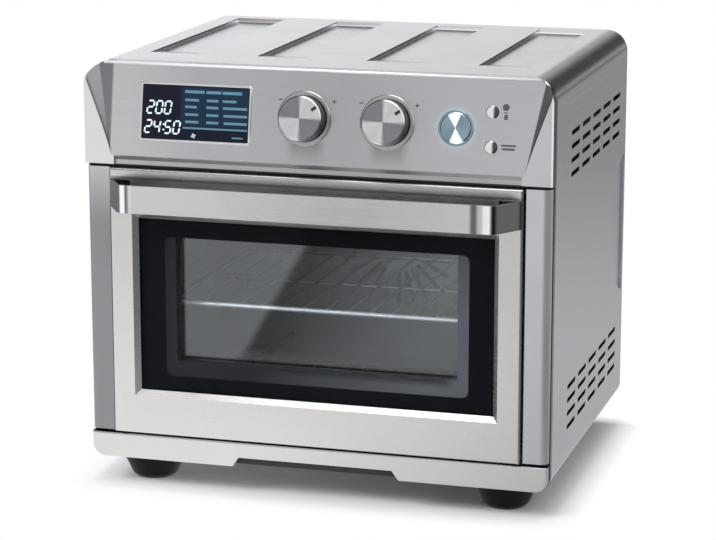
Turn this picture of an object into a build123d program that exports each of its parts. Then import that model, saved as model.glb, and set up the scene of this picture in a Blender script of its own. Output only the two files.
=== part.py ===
from build123d import *
import os
from math import cos, pi, radians, sin, tan

os.makedirs("parts", exist_ok=True)

# Whole oven, in millimetres: X to the right, Y to the back, Z up from the table
width = 420.0
body_depth = 335.0
handle_reach = 33.0
foot_height = 24.5
drawer_height = 23.2
door_height = 240.2
fascia_height = 89.6
seam = 2.6
top_corner = 20.0
bottom_corner = 12.0
front_roll = 15.0
sheet = 1.0
fit = 0.3
screw_fit = 0.2

# Outer wrap: roof pockets, side vents and rear grips
wrap_setback = 8.5
rear_setback = 2.5
wrap_flange = 6.0
rear_lip = 12.0
pocket_width = 47.0
pocket_inset = 59.0
pocket_start = 72.0
pocket_ramp = 30.0
pocket_end = 320.0
pocket_drop = 3.5
vent_length = 36.0
vent_width = 4.3
vent_columns = 5
vent_rows = 4
vent_column_pitch = 47.5
vent_row_pitch = 12.2
vent_start = 94.6
upper_vent_top = 326.6
lower_vent_top = 99.0
grip_radius = 68.0
grip_height = 199.0
grip_overrun = 6.0
grip_drop = 2.0
grip_margin = 7.0

# Feet and base plate
foot_inset = 46.0
foot_front = 40.0
foot_rear = 295.0
foot_bottom_radius = 21.0
foot_top_radius = 31.0
foot_seat_radius = 25.0
foot_edge = 3.0
foot_bore = 5.5
foot_bore_depth = 10.0
screw_radius = 2.0
screw_head_radius = 3.6
screw_head = 2.0
foot_screw_length = 19.0
base_slot_length = 70.0
base_slot_width = 6.0
base_slot_pitch = 100.0
base_slot_rows_pitch = 40.0
body_screw_length = 6.0
rear_screw_inset = 7.5
rear_screw_heights = (90.0, 310.0)
rear_screw_x = 100.0

# Front frame
bulkhead_place = 22.0
bulkhead_sheet = 1.2
pillar_width = 21.8
pillar_round = 7.0
pillar_gap = 1.8
band_depth = 7.0
mouth_bead = 4.0
door_to_bead = 0.4
front_inset = 0.7
control_cut_inset = 32.0
control_cut_low = 306.0
control_cut_high = 372.0

# Cooking cavity
cavity_inset = 52.0
cavity_bottom = 60.0
cavity_top = 284.0
cavity_depth = 262.8
liner_sheet = 0.8
liner_corner = 4.0
mouth_inset = 1.2
crumb_opening_inset = 28.0
crumb_opening_depth = 190.0
rack_level = 164.0
runner_pitch = 53.0
runner_reach = 8.0
runner_sheet = 1.0
runner_length = 236.0
runner_setback = 6.0
runner_edge = 8.0
runner_slot_length = 55.0
runner_slot_width = 20.0
rack_frame_radius = 2.5
rack_wire_radius = 1.3
rack_bar_radius = 1.6
rack_bar_drop = 2.2
rack_wire_inset = 18.0
rack_wire_count = 15
rack_length = 232.0
rack_corner = 12.0
rack_travel = 12.0
door_to_rack = 1.0

# Fan, motor and heaters
fan_height = 172.0
fan_radius = 62.0
fan_blades = 8
fan_blade_thickness = 1.2
fan_root_pitch = 58.0
fan_middle_pitch = 42.0
fan_tip_pitch = 30.0
fan_blade_root = 2.0
fan_hub_edge = 2.0
fan_throat_gap = 4.0
fan_tip_gap = 0.5
fan_root_chord = 18.0
fan_middle_chord = 22.5
fan_tip_chord = 25.2
fan_hub_radius = 12.0
fan_hub_length = 14.0
fan_housing_radius = 79.0
fan_housing_depth = 25.0
fan_rim = 7.0
grille_radius = 84.0
grille_slots = 24
grille_slot_inner = 26.0
grille_slot_outer = 58.0
grille_slot_width = 4.0
grille_sheet = 2.0
grille_edge = 1.0
shaft_radius = 3.0
shaft_fit = 0.05
motor_radius = 22.0
motor_length = 15.5
motor_plate = 1.5
motor_plate_half = 34.0
motor_edge = 3.0
motor_shaft_seat = 10.0
heater_radius = 3.25
heater_bend = 18.0
heater_fit = 0.15
heater_inset = 48.0
heater_inner_x = 37.0
heater_tail = 12.0
heater_front = 38.0
heater_back = 190.0
upper_heater_drop = 18.0
lower_heater_rise = 14.0
bush_radius = 6.5
bush_length = 6.0

# Lamp, probe and cut-out on the cavity
lamp_place_y = 190.0
lamp_height = 244.0
lamp_gap = 1.0
lens_radius = 17.0
lens_reach = 9.0
lens_glass = 2.0
lamp_radius = 5.5
lamp_length = 14.0
socket_radius = 14.0
socket_length = 26.0
socket_bore = 7.0
socket_floor = 8.0
probe_radius = 2.0
probe_reach = 32.0
probe_flange = 6.0
probe_height = 246.0
probe_place_y = 215.0
cutout_radius = 8.0
cutout_height = 8.0
cutout_place_x = 60.0

# Heat shield and power electronics
shield_rise = 10.0
shield_inset = 8.0
shield_front = 22.0
shield_length = 230.0
board_thickness = 1.6
standoff_radius = 3.0
standoff_height = 6.0
power_board_width = 120.0
power_board_depth = 100.0
power_board_place = 90.0
transformer_side = 28.0
transformer_height = 22.4
relay_length = 18.0
relay_width = 14.4
capacitor_radius = 6.0
capacitor_height = 19.6

# Control fascia
panel_tilt = 10.0
panel_wall = 2.5
panel_low_inset = 24.5
panel_high_inset = 9.0
opening_low_inset = 23.0
opening_overrun = 4.0
lip_height = 8.1
lip_depth = 2.4
lip_flange = 4.0
lip_inset = 27.0
control_height = 340.3
control_board_back = 16.0
control_board_inset = 38.0
control_board_rise = 27.0
post_radius = 3.0
post_shares = (-0.8, 0.13, 0.8)
post_rise = 23.0

# Display
display_share = -0.519
display_width = 102.0
display_height = 51.3
display_corner = 2.5
bezel_width = 1.8
bezel_rise = 0.8
bezel_lap = 1.0
lens_thickness = 2.0
lens_rise = 0.4
module_inset = 4.0

# Knobs
knob_shares = {"left": -0.0462, "right": 0.3062}
knob_ring_radius = 24.0
knob_ring_rise = 2.6
knob_ring_floor = 0.8
knob_radius = 20.2
knob_face_radius = 19.2
knob_rise = 16.0
knob_wall = 2.0
knob_gap = 0.7
knob_edge = 1.0
knob_boss_radius = 5.5
knob_bore_depth = 10.5
encoder_half = 6.5
encoder_depth = 7.0
encoder_bush_radius = 4.5
encoder_seat = 2.0

# Buttons
start_share = 0.593
start_drop = 1.8
start_ring_radius = 15.3
start_ring_rise = 1.4
ring_lap = 0.9
ring_edge = 0.4
start_radius = 13.1
start_rise = 3.2
start_travel = 1.0
small_button_share = 0.74
small_button_spread = 14.9
small_button_radius = 5.3
small_button_rise = 1.6
small_button_travel = 0.8
button_gap = 0.4
button_lip = 0.9
button_lip_depth = 1.0
button_stem_radius = 2.5
switch_half = 3.0
switch_height = 5.7
button_edge = 0.7

# Door
door_proud = 5.0
door_wrap_depth = 13.0
door_edge = 2.0
window_inset = 24.7
window_low = 90.0
window_high = 246.0
bevel_width = 4.5
glass_thickness = 4.0
glass_lap = 11.0
glass_corner = 3.0
inner_frame_back = 19.0
inner_frame_low = 59.0
inner_frame_sheet = 1.2
inner_window_inset = 33.0
inner_window_low = 117.0
inner_window_high = 232.0
carrier_lap = 17.0
carrier_low = 72.0
carrier_high = 264.0
inner_glass_thickness = 3.6
inner_glass_lap = 5.7

# Door hinges
hinge_height = 54.0
pin_radius = 2.0
pin_fit = 0.05
pin_seat = 0.02
ear_inset = 8.2
ear_thickness = 4.0
ear_radius = 3.5
ear_gap = 0.5
arm_plate = 1.6
arm_half = 3.6
arm_low = 51.5
arm_depth = 15.0
arm_web = 1.0
pin_head = 0.9
pin_head_radius = 2.4
hinge_foot = 1.4
hinge_foot_reach = 10.0
hinge_foot_height = 14.0

# Door handle
handle_low = 256.7
handle_height = 24.3
handle_return = 17.4
handle_foot_inset = 0.3
handle_plate = 2.5
handle_bend = 6.0
handle_tab = 20.0
handle_tab_step = 4.5
handle_bend_step = 1.5
handle_screw_inset = 12.4
handle_screw_spread = 13.0

# Crumb drawer
drawer_sheet = 1.2
drawer_flange = 7.0
drawer_edge = 2.0
notch_top_half = 70.5
notch_bottom_half = 77.0
notch_height = 9.0
tray_inset = 59.0
tray_setback = 12.0
tray_length = 250.0
tray_low = 34.3
tray_sheet = 0.8
tray_edge_radius = 3.0
tray_runner_gap = 0.5
tray_slot_gap = 0.7
tray_runner_ledge = 9.0
tray_runner_foot = 8.0

# Rear panel and inlet
rear_vent_length = 40.0
rear_vent_width = 4.0
rear_vent_columns = 4
rear_vent_rows = 9
rear_vent_pitch = 11.0
rear_vent_spacing = 55.0
rear_upper_rows = 3
rear_upper_height = 330.0
rear_inset = 3.5
gland_inset = 60.0
gland_height = 92.0
gland_radius = 7.0
gland_flange_radius = 9.5
gland_flange = 2.0
gland_bore = 4.0
gland_inside = 9.0
terminal_width = 34.0
terminal_height = 20.0
terminal_depth = 14.0

# Levels and depths worked out from the sizes above
front = handle_reach - (body_depth + handle_reach) / 2
back = front + body_depth
drawer_top = foot_height + drawer_height
door_bottom = drawer_top + seam
door_top = door_bottom + door_height
fascia_bottom = door_top + seam
top = fascia_bottom + fascia_height
half = width / 2
inner_half = half - sheet
base_level = foot_height + sheet
base_top = base_level + sheet
rear_face = back - rear_setback
bulkhead_front = front + bulkhead_place
bulkhead_back = bulkhead_front + bulkhead_sheet
cavity_half = half - cavity_inset
cavity_rear = bulkhead_back + cavity_depth
door_half = half - front_inset - pillar_width - pillar_gap
door_face = front - door_proud
pocket_places = [step * (half - pocket_inset) / 3 for step in (-3, -1, 1, 3)]
heater_half = cavity_half - heater_inset
shield_half = cavity_half - shield_inset
tray_half = half - tray_inset
gland_x = gland_inset - half
panel_half_low = half - panel_low_inset
panel_half_high = half - panel_high_inset
opening_half_low = half - opening_low_inset
opening_half_high = half + opening_overrun
display_place = display_share * half
knob_places = {side: share * half for side, share in knob_shares.items()}
start_place = (start_share * half, -start_drop)
small_button_place = small_button_share * half
window_half = door_half - window_inset
inner_window_half = window_half - inner_window_inset
carrier_half = window_half + carrier_lap
ear_inner_x = door_half - ear_inset
handle_foot_half = door_half - handle_foot_inset
handle_front_half = handle_foot_half - handle_return
handle_screw_x = handle_foot_half - handle_screw_inset
wrap_start = front + wrap_setback
far = 60.0
foot_places = {
    "foot_front_left": (foot_inset - half, front + foot_front),
    "foot_front_right": (half - foot_inset, front + foot_front),
    "foot_rear_left": (foot_inset - half, front + foot_rear),
    "foot_rear_right": (half - foot_inset, front + foot_rear),
}
rear_screw_places = [
    *[(side * (half - rear_screw_inset), z) for side in (-1, 1) for z in rear_screw_heights],
    *[
        (side * rear_screw_x, z)
        for side in (-1, 1)
        for z in (foot_height + rear_screw_inset, top - rear_screw_inset)
    ],
]
handle_screw_places = [
    (side * handle_screw_x, handle_low + (handle_height + turn * handle_screw_spread) / 2)
    for side in (-1, 1)
    for turn in (-1, 1)
]


def across(y):
    """Plane across the oven at y, X to the right and Z up; positive extrudes to the front."""
    return Plane(origin=(0, y, 0), x_dir=(1, 0, 0), z_dir=(0, -1, 0))


def lathe(spot):
    """Plane whose Y runs along the axis of spot, for a half profile of radius and height."""
    return Plane(origin=spot.origin, x_dir=spot.x_dir, z_dir=-spot.y_dir)


def axis_of(spot):
    """Axis through the origin of spot, square to it."""
    return Axis(spot.origin, spot.z_dir)


def block(x0, x1, y0, y1, z0, z1, mode=Mode.ADD):
    """Box between two corners."""
    with Locations(((x0 + x1) / 2, (y0 + y1) / 2, (z0 + z1) / 2)):
        Box(x1 - x0, y1 - y0, z1 - z0, mode=mode)


def section(inset, low, low_corner):
    """Cross-section of the body, set in from its skin, standing on the level low."""
    high = top - inset
    with Locations((0, (low + high) / 2)):
        Rectangle(width - 2 * inset, high - low)
    fillet(vertices().group_by(Axis.Y)[-1], top_corner - inset)
    if low_corner > 0:
        fillet(vertices().group_by(Axis.Y)[0], low_corner)


def front_space(shift):
    """Side view of the space in front of the rolled front edge, moved back by shift."""
    y = front + shift
    middle = front_roll * (1 - cos(pi / 4))
    with BuildSketch() as space:
        with BuildLine():
            arc_middle = (y + middle, top - middle)
            ThreePointArc((y, top - front_roll), arc_middle, (y + front_roll, top))
            Line((y + front_roll, top), (y + front_roll, top + far))
            Line((y + front_roll, top + far), (y - far, top + far))
            Line((y - far, top + far), (y - far, -far))
            Line((y - far, -far), (y, -far))
            Line((y, -far), (y, top - front_roll))
        make_face()
    return space.sketch


def window(half_width, low, high, mode=Mode.ADD):
    """Upright rectangle about the middle of the oven."""
    with Locations((0, (low + high) / 2)):
        Rectangle(2 * half_width, high - low, mode=mode)


def screws(spots, length):
    """Pan-head screws, with each head on its spot and its shank running the other way."""
    with Locations(*spots):
        Cylinder(screw_head_radius, screw_head, align=(Align.CENTER, Align.CENTER, Align.MIN))
        Cylinder(screw_radius, length, align=(Align.CENTER, Align.CENTER, Align.MAX))


def save(piece, name):
    """Label a finished piece and write it as one STEP file."""
    piece.part.label = name
    export_step(piece.part, f"parts/{name}.step")


# Outer wrap: one folded sheet with roof pockets, side vents and pressed grips
wrap_length = back - wrap_start
pocket_floor = top - pocket_drop
pocket_head = front + pocket_start
pocket_tail = front + pocket_end
flange_edge = half - bottom_corner - wrap_flange
vent_middle = front + vent_start + vent_column_pitch * (vent_columns - 1) / 2
pocket_planes = [Plane.YZ.offset(x) for x in pocket_places]
with BuildPart() as outer_wrap:
    with BuildSketch(across(back)):
        section(0, foot_height, bottom_corner)
    extrude(amount=wrap_length)
    with BuildSketch(across(back)):
        section(sheet, base_level, bottom_corner - sheet)
    extrude(amount=wrap_length, mode=Mode.SUBTRACT)
    block(-flange_edge, flange_edge, front, back + sheet, 0, base_level, Mode.SUBTRACT)
    # Rear lip that carries the rear panel
    with BuildSketch(across(rear_face - sheet)):
        section(sheet, base_level, bottom_corner - sheet)
        window(half - rear_lip, foot_height + rear_lip, top - rear_lip, Mode.SUBTRACT)
    extrude(amount=sheet)
    # Roof pockets: the tubs under the sheet first, then the pressed faces
    with BuildSketch(*pocket_planes):
        Polygon(
            (pocket_head, top - sheet),
            (pocket_head + pocket_ramp, pocket_floor - sheet),
            (pocket_tail, pocket_floor - sheet),
            (pocket_tail + sheet, top - sheet),
            (pocket_tail + sheet, top - sheet / 2),
            (pocket_head, top - sheet / 2),
            align=None,
        )
    extrude(amount=pocket_width / 2 + sheet, both=True)
    with BuildSketch(*pocket_planes):
        Polygon(
            (pocket_head, top),
            (pocket_head + pocket_ramp, pocket_floor),
            (pocket_tail - pocket_drop, pocket_floor),
            (pocket_tail, top),
            (pocket_tail, top + sheet),
            (pocket_head, top + sheet),
            align=None,
        )
    extrude(amount=pocket_width / 2, both=True, mode=Mode.SUBTRACT)
    # Side vents, cut through both walls at once
    with BuildSketch(Plane.YZ):
        for vent_top in (upper_vent_top, lower_vent_top):
            with Locations((vent_middle, vent_top - vent_row_pitch * (vent_rows - 1) / 2)):
                with GridLocations(vent_column_pitch, vent_row_pitch, vent_columns, vent_rows):
                    SlotOverall(vent_length, vent_width)
    extrude(amount=width, both=True, mode=Mode.SUBTRACT)
    # Rear grips, pressed inwards at both sides
    for side in (-1, 1):
        with BuildSketch(Plane.YZ.offset(side * (half - sheet - grip_drop))):
            with Locations((back + grip_overrun, grip_height)):
                Circle(grip_radius + sheet)
            with Locations((back - grip_margin + sheet + grip_radius, grip_height)):
                Rectangle(2 * grip_radius, 4 * grip_radius, mode=Mode.SUBTRACT)
        extrude(amount=side * (grip_drop + sheet / 2))
        with BuildSketch(Plane.YZ.offset(side * (half - grip_drop))):
            with Locations((back + grip_overrun, grip_height)):
                Circle(grip_radius)
            with Locations((back - grip_margin + grip_radius, grip_height)):
                Rectangle(2 * grip_radius, 4 * grip_radius, mode=Mode.SUBTRACT)
        extrude(amount=side * (grip_drop + sheet), mode=Mode.SUBTRACT)
    # Front edge, rolled back at the top like the fascia in front of it
    with BuildSketch(Plane.YZ):
        add(front_space(wrap_setback))
    extrude(amount=width, both=True, mode=Mode.SUBTRACT)
    # Holes for the screws that hold the rear panel
    with BuildSketch(across(rear_face)):
        with Locations(*rear_screw_places):
            Circle(screw_radius + screw_fit)
    extrude(amount=2 * sheet, mode=Mode.SUBTRACT)
save(outer_wrap, "outer_wrap")

# Base plate, on the flanges of the wrap
base_front = bulkhead_back + fit
base_rear = rear_face - 2 * sheet - fit
base_middle = (base_front + base_rear) / 2
with BuildPart() as base_plate:
    with BuildSketch(Plane.XY.offset(base_level)):
        with Locations((0, base_middle)):
            Rectangle(2 * (half - bottom_corner - fit), base_rear - base_front)
            with GridLocations(base_slot_pitch, base_slot_rows_pitch, 3, 5):
                SlotOverall(base_slot_length, base_slot_width, mode=Mode.SUBTRACT)
        with Locations(*foot_places.values()):
            Circle(screw_radius + screw_fit, mode=Mode.SUBTRACT)
    extrude(amount=sheet)
save(base_plate, "base_plate")

# Feet: tapered, each with a bore for its screw
for name, (x, y) in foot_places.items():
    spot = Plane(origin=(x, y, 0))
    with BuildPart() as foot:
        with BuildSketch(lathe(spot)):
            Polygon(
                (foot_bore, 0),
                (foot_bottom_radius - foot_edge, 0),
                (foot_bottom_radius, foot_edge),
                (foot_top_radius, foot_height),
                (foot_seat_radius, foot_height),
                (foot_seat_radius, base_level),
                (screw_radius + screw_fit, base_level),
                (screw_radius + screw_fit, foot_bore_depth),
                (foot_bore, foot_bore_depth),
                align=None,
            )
        revolve(axis=axis_of(spot))
    save(foot, name)

# Front frame: bulkhead with its openings, a bead round the mouth and the two pillars
mouth_half = cavity_half - liner_sheet - mouth_inset
mouth_low = cavity_bottom + liner_sheet + mouth_inset
mouth_high = cavity_top - liner_sheet - mouth_inset
skin_x = inner_half - fit
pillar_out = half - front_inset
pillar_in = pillar_out - pillar_width
pillar_wall_x = skin_x - bulkhead_sheet
pillar_cut = pillar_round - bulkhead_sheet
bead_height = bulkhead_place - inner_frame_back - door_to_bead
with BuildPart() as front_frame:
    with BuildSketch(across(bulkhead_back)):
        section(sheet + fit, base_top + fit, bottom_corner - sheet)
        window(mouth_half, mouth_low, mouth_high, Mode.SUBTRACT)
        window(
            tray_half + tray_runner_gap,
            tray_low - tray_slot_gap,
            drawer_top - drawer_sheet + tray_slot_gap,
            Mode.SUBTRACT,
        )
        window(half - control_cut_inset, control_cut_low, control_cut_high, Mode.SUBTRACT)
    extrude(amount=bulkhead_sheet)
    with BuildSketch(across(bulkhead_front)):
        window(mouth_half + mouth_bead, mouth_low - mouth_bead, mouth_high + mouth_bead)
        window(mouth_half, mouth_low, mouth_high, Mode.SUBTRACT)
    extrude(amount=bead_height)
    with BuildSketch(Plane.XY.offset(door_bottom)):
        Polygon(
            (pillar_in, front),
            (pillar_out, front),
            (pillar_out, front + band_depth),
            (skin_x, front + band_depth),
            (skin_x, bulkhead_front),
            (pillar_in, bulkhead_front),
            align=None,
        )
        fillet(vertices().group_by(Axis.Y)[0].sort_by(Axis.X)[-1], pillar_round)
        Polygon(
            (pillar_in + bulkhead_sheet, front + bulkhead_sheet),
            (pillar_wall_x - pillar_cut, front + bulkhead_sheet),
            (pillar_wall_x, front + bulkhead_sheet + pillar_cut),
            (pillar_wall_x, bulkhead_front),
            (pillar_in + bulkhead_sheet, bulkhead_front),
            align=None,
            mode=Mode.SUBTRACT,
        )
        mirror(about=Plane.YZ)
    extrude(amount=door_height)
save(front_frame, "front_frame")

# Cavity liner: open at the front, with holes for crumbs, fan, heaters, lamp and probe
upper_heater_z = cavity_top - liner_sheet - upper_heater_drop
lower_heater_z = cavity_bottom + liner_sheet + lower_heater_rise
heater_ends = [
    (x, z) for z in (lower_heater_z, upper_heater_z) for x in (-heater_half, heater_half)
]
crumb_opening_y = bulkhead_back + heater_front + crumb_opening_depth / 2
lamp_spot = Plane(
    origin=(cavity_half, front + lamp_place_y, lamp_height), x_dir=(0, 1, 0), z_dir=(1, 0, 0)
)
probe_spot = Plane(
    origin=(-cavity_half, front + probe_place_y, probe_height), x_dir=(0, -1, 0), z_dir=(-1, 0, 0)
)
with BuildPart() as cavity_liner:
    with BuildSketch(across(cavity_rear)):
        window(cavity_half, cavity_bottom, cavity_top)
    extrude(amount=cavity_depth)
    fillet(edges().filter_by(Axis.Y), liner_corner)
    offset(amount=-liner_sheet, openings=faces().sort_by(Axis.Y)[0])
    with BuildSketch(Plane.XY.offset(cavity_bottom)):
        with Locations((0, crumb_opening_y)):
            Rectangle(2 * (cavity_half - crumb_opening_inset), crumb_opening_depth)
    extrude(amount=2 * liner_sheet, mode=Mode.SUBTRACT)
    with BuildSketch(across(cavity_rear)):
        with Locations((0, fan_height)):
            Circle(fan_radius + fan_throat_gap)
        with Locations(*heater_ends):
            Circle(heater_radius + 2 * fit)
    extrude(amount=2 * liner_sheet, mode=Mode.SUBTRACT)
    with BuildSketch(lamp_spot):
        Circle(socket_bore)
    extrude(amount=-2 * liner_sheet, mode=Mode.SUBTRACT)
    with BuildSketch(probe_spot):
        Circle(probe_radius + fit)
    extrude(amount=-2 * liner_sheet, mode=Mode.SUBTRACT)
save(cavity_liner, "cavity_liner")

# Rack runners: a pressed strip with three ledges at each side of the cavity
wall_x = cavity_half - liner_sheet
runner_front = bulkhead_back + runner_setback
ledge_top = rack_level - rack_frame_radius - fit
with BuildPart() as rack_runners:
    for side in (-1, 1):
        with BuildSketch(Plane.YZ.offset(side * wall_x)):
            with Locations((runner_front + runner_length / 2, ledge_top)):
                RectangleRounded(runner_length, 2 * (runner_pitch + runner_edge), runner_edge)
                with GridLocations(runner_length / 3, runner_pitch, 3, 2):
                    SlotOverall(runner_slot_length, runner_slot_width, mode=Mode.SUBTRACT)
        extrude(amount=-side * runner_sheet)
        for level in (-1, 0, 1):
            high = ledge_top + level * runner_pitch
            with BuildSketch(Plane.XY.offset(high)):
                with Locations((side * (wall_x - runner_reach / 2), runner_front + runner_length / 2)):
                    Rectangle(runner_reach, runner_length)
            extrude(amount=-runner_sheet)
save(rack_runners, "rack_runners")

# Wire rack: a bent frame rod with wires from front to back and one bar under them
rack_front = front + inner_frame_back + door_to_rack + rack_travel + rack_frame_radius
rack_back = rack_front + rack_length
rack_half = wall_x - runner_sheet - 2 * fit - rack_frame_radius
rack_span = 2 * (cavity_half - rack_wire_inset)
with BuildPart() as wire_rack:
    with BuildLine(Plane.XY.offset(rack_level)) as rack_loop:
        FilletPolyline(
            (rack_half, rack_front),
            (rack_half, rack_back),
            (-rack_half, rack_back),
            (-rack_half, rack_front),
            radius=rack_corner,
            close=True,
        )
    with BuildSketch(Plane(origin=rack_loop.line @ 0, z_dir=rack_loop.line % 0)):
        Circle(rack_frame_radius)
    sweep()
    with BuildSketch(across(rack_back)):
        with Locations((0, rack_level)):
            with GridLocations(rack_span / (rack_wire_count - 1), 1, rack_wire_count, 1):
                Circle(rack_wire_radius)
    extrude(amount=rack_length)
    with BuildSketch(Plane.YZ):
        with Locations(((rack_front + rack_back) / 2, rack_level - rack_bar_drop)):
            Circle(rack_bar_radius)
    extrude(amount=rack_span / 2 + 2 * rack_wire_radius, both=True)
save(wire_rack, "wire_rack")

# Fan grille: a pressed disc with radial slots, on the rear wall of the cavity
grille_back = cavity_rear - liner_sheet
with BuildPart() as fan_grille:
    with BuildSketch(across(grille_back)):
        with Locations((0, fan_height)):
            Circle(grille_radius)
            with PolarLocations((grille_slot_inner + grille_slot_outer) / 2, grille_slots):
                SlotOverall(
                    grille_slot_outer - grille_slot_inner, grille_slot_width, mode=Mode.SUBTRACT
                )
    extrude(amount=grille_sheet)
    fillet(faces().sort_by(Axis.Y)[0].outer_wire().edges(), grille_edge)
save(fan_grille, "fan_grille")

# Fan: twisted blades on a hub, on the motor's shaft
fan_middle = cavity_rear + fan_housing_depth / 2
hub_front = fan_middle - fan_hub_length / 2
hub_back = fan_middle + fan_hub_length / 2
with BuildPart() as convection_fan:
    with BuildSketch(across(hub_back)):
        with Locations((0, fan_height)):
            Circle(fan_hub_radius)
    extrude(amount=fan_hub_length)
    fillet(faces().sort_by(Axis.Y)[0].edges(), fan_hub_edge)
    for blade in range(fan_blades):
        turn = 2 * pi * blade / fan_blades
        out = Vector(cos(turn), 0, sin(turn))
        around = Vector(-sin(turn), 0, cos(turn))
        stations = (
            (fan_hub_radius - fan_blade_root, fan_root_chord, fan_root_pitch),
            ((fan_hub_radius + fan_radius) / 2, fan_middle_chord, fan_middle_pitch),
            (fan_radius - fan_tip_gap, fan_tip_chord, fan_tip_pitch),
        )
        for radius, chord, pitch in stations:
            middle = Vector(0, fan_middle, fan_height) + out * radius
            lean = around * cos(radians(pitch)) + Vector(0, 1, 0) * sin(radians(pitch))
            with BuildSketch(Plane(origin=middle, x_dir=lean, z_dir=out)):
                Rectangle(chord, fan_blade_thickness)
        loft()
    with BuildSketch(across(hub_back)):
        with Locations((0, fan_height)):
            Circle(shaft_radius + pin_seat)
    extrude(amount=fan_hub_length, mode=Mode.SUBTRACT)
save(convection_fan, "convection_fan")

# Fan housing behind the cavity, with the motor on its plate
housing_back = cavity_rear + fan_housing_depth
with BuildPart() as fan_housing:
    with BuildSketch(across(housing_back)):
        with Locations((0, fan_height)):
            Circle(fan_housing_radius)
    extrude(amount=fan_housing_depth)
    offset(amount=-sheet, openings=faces().sort_by(Axis.Y)[0])
    with BuildSketch(across(cavity_rear + sheet)):
        with Locations((0, fan_height)):
            Circle(fan_housing_radius + fan_rim)
            Circle(fan_housing_radius - sheet, mode=Mode.SUBTRACT)
    extrude(amount=sheet)
    with BuildSketch(across(housing_back)):
        with Locations((0, fan_height)):
            Circle(2 * shaft_radius)
    extrude(amount=2 * sheet, mode=Mode.SUBTRACT)
save(fan_housing, "fan_housing")

motor_front = housing_back + motor_plate
with BuildPart() as motor_bracket:
    with BuildSketch(across(motor_front)):
        with Locations((0, fan_height)):
            Rectangle(2 * motor_plate_half, 2 * motor_radius)
            Circle(2 * shaft_radius, mode=Mode.SUBTRACT)
    extrude(amount=motor_plate)
    fillet(edges().filter_by(Axis.Y).group_by(SortBy.LENGTH)[0], motor_plate)
save(motor_bracket, "motor_bracket")

shaft_end = motor_front + motor_shaft_seat
with BuildPart() as fan_motor:
    with BuildSketch(across(motor_front + motor_length)):
        with Locations((0, fan_height)):
            Circle(motor_radius)
    extrude(amount=motor_length)
    fillet(faces().sort_by(Axis.Y)[-1].edges(), motor_edge)
    with BuildSketch(across(shaft_end)):
        with Locations((0, fan_height)):
            Circle(shaft_radius + shaft_fit)
    extrude(amount=motor_shaft_seat, mode=Mode.SUBTRACT)
save(fan_motor, "fan_motor")

with BuildPart() as motor_shaft:
    with BuildSketch(across(shaft_end - fit)):
        with Locations((0, fan_height)):
            Circle(shaft_radius)
    extrude(amount=shaft_end - fit - hub_front)
save(motor_shaft, "motor_shaft")

# Heater tubes: one loop under the roof and one over the floor
heater_tail_y = cavity_rear + heater_tail
heater_front_y = bulkhead_back + heater_front
heater_back_y = bulkhead_back + heater_back
upper_route = (
    (-heater_half, heater_tail_y, upper_heater_z),
    (-heater_half, heater_front_y, upper_heater_z),
    (-heater_inner_x, heater_front_y, upper_heater_z),
    (-heater_inner_x, heater_back_y, upper_heater_z),
    (heater_inner_x, heater_back_y, upper_heater_z),
    (heater_inner_x, heater_front_y, upper_heater_z),
    (heater_half, heater_front_y, upper_heater_z),
    (heater_half, heater_tail_y, upper_heater_z),
)
lower_route = (
    (-heater_half, heater_tail_y, lower_heater_z),
    (-heater_half, heater_front_y, lower_heater_z),
    (heater_half, heater_front_y, lower_heater_z),
    (heater_half, heater_tail_y, lower_heater_z),
)
for name, route in (("upper_heater", upper_route), ("lower_heater", lower_route)):
    with BuildPart() as heater:
        with BuildLine() as run:
            FilletPolyline(*route, radius=heater_bend)
        with BuildSketch(Plane(origin=run.line @ 0, z_dir=run.line % 0)):
            Circle(heater_radius)
        sweep()
    save(heater, name)

with BuildPart() as heater_bushes:
    with BuildSketch(across(cavity_rear + bush_length)):
        with Locations(*heater_ends):
            Circle(bush_radius)
            Circle(heater_radius + heater_fit, mode=Mode.SUBTRACT)
    extrude(amount=bush_length)
save(heater_bushes, "heater_bushes")

# Lamp, its socket and its lens, and the temperature probe
lens_back = -liner_sheet
with BuildPart() as lamp_socket:
    with BuildSketch(lathe(lamp_spot)):
        Polygon(
            (socket_bore, 0),
            (socket_radius + lens_glass, 0),
            (socket_radius + lens_glass, lens_glass),
            (socket_radius, lens_glass),
            (socket_radius, socket_length),
            (0, socket_length),
            (0, socket_length - socket_floor),
            (socket_bore, socket_length - socket_floor),
            align=None,
        )
    revolve(axis=axis_of(lamp_spot))
save(lamp_socket, "lamp_socket")

lamp_tip = lens_back - lens_reach + lens_glass + lamp_gap
lamp_end = socket_length - socket_floor
with BuildPart() as oven_lamp:
    with BuildSketch(lathe(lamp_spot)):
        Polygon(
            (0, lamp_tip),
            (lamp_radius - lamp_gap, lamp_tip),
            (lamp_radius, lamp_tip + lamp_gap),
            (lamp_radius, lamp_length + lamp_tip),
            (socket_bore - fit, lamp_length + lamp_tip),
            (socket_bore - fit, lamp_end),
            (0, lamp_end),
            align=None,
        )
    revolve(axis=axis_of(lamp_spot))
save(oven_lamp, "oven_lamp")

with BuildPart() as lamp_lens:
    with BuildSketch(lathe(lamp_spot)):
        Polygon(
            (lens_radius - 2 * lens_glass, lens_back),
            (lens_radius, lens_back),
            (lens_radius, lens_back - lens_glass),
            (lens_radius - 2 * lens_glass, lens_back - lens_reach),
            (0, lens_back - lens_reach),
            (0, lens_back - lens_reach + lens_glass),
            (lens_radius - 3 * lens_glass, lens_back - lens_reach + lens_glass),
            align=None,
        )
    revolve(axis=axis_of(lamp_spot))
save(lamp_lens, "lamp_lens")

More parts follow.
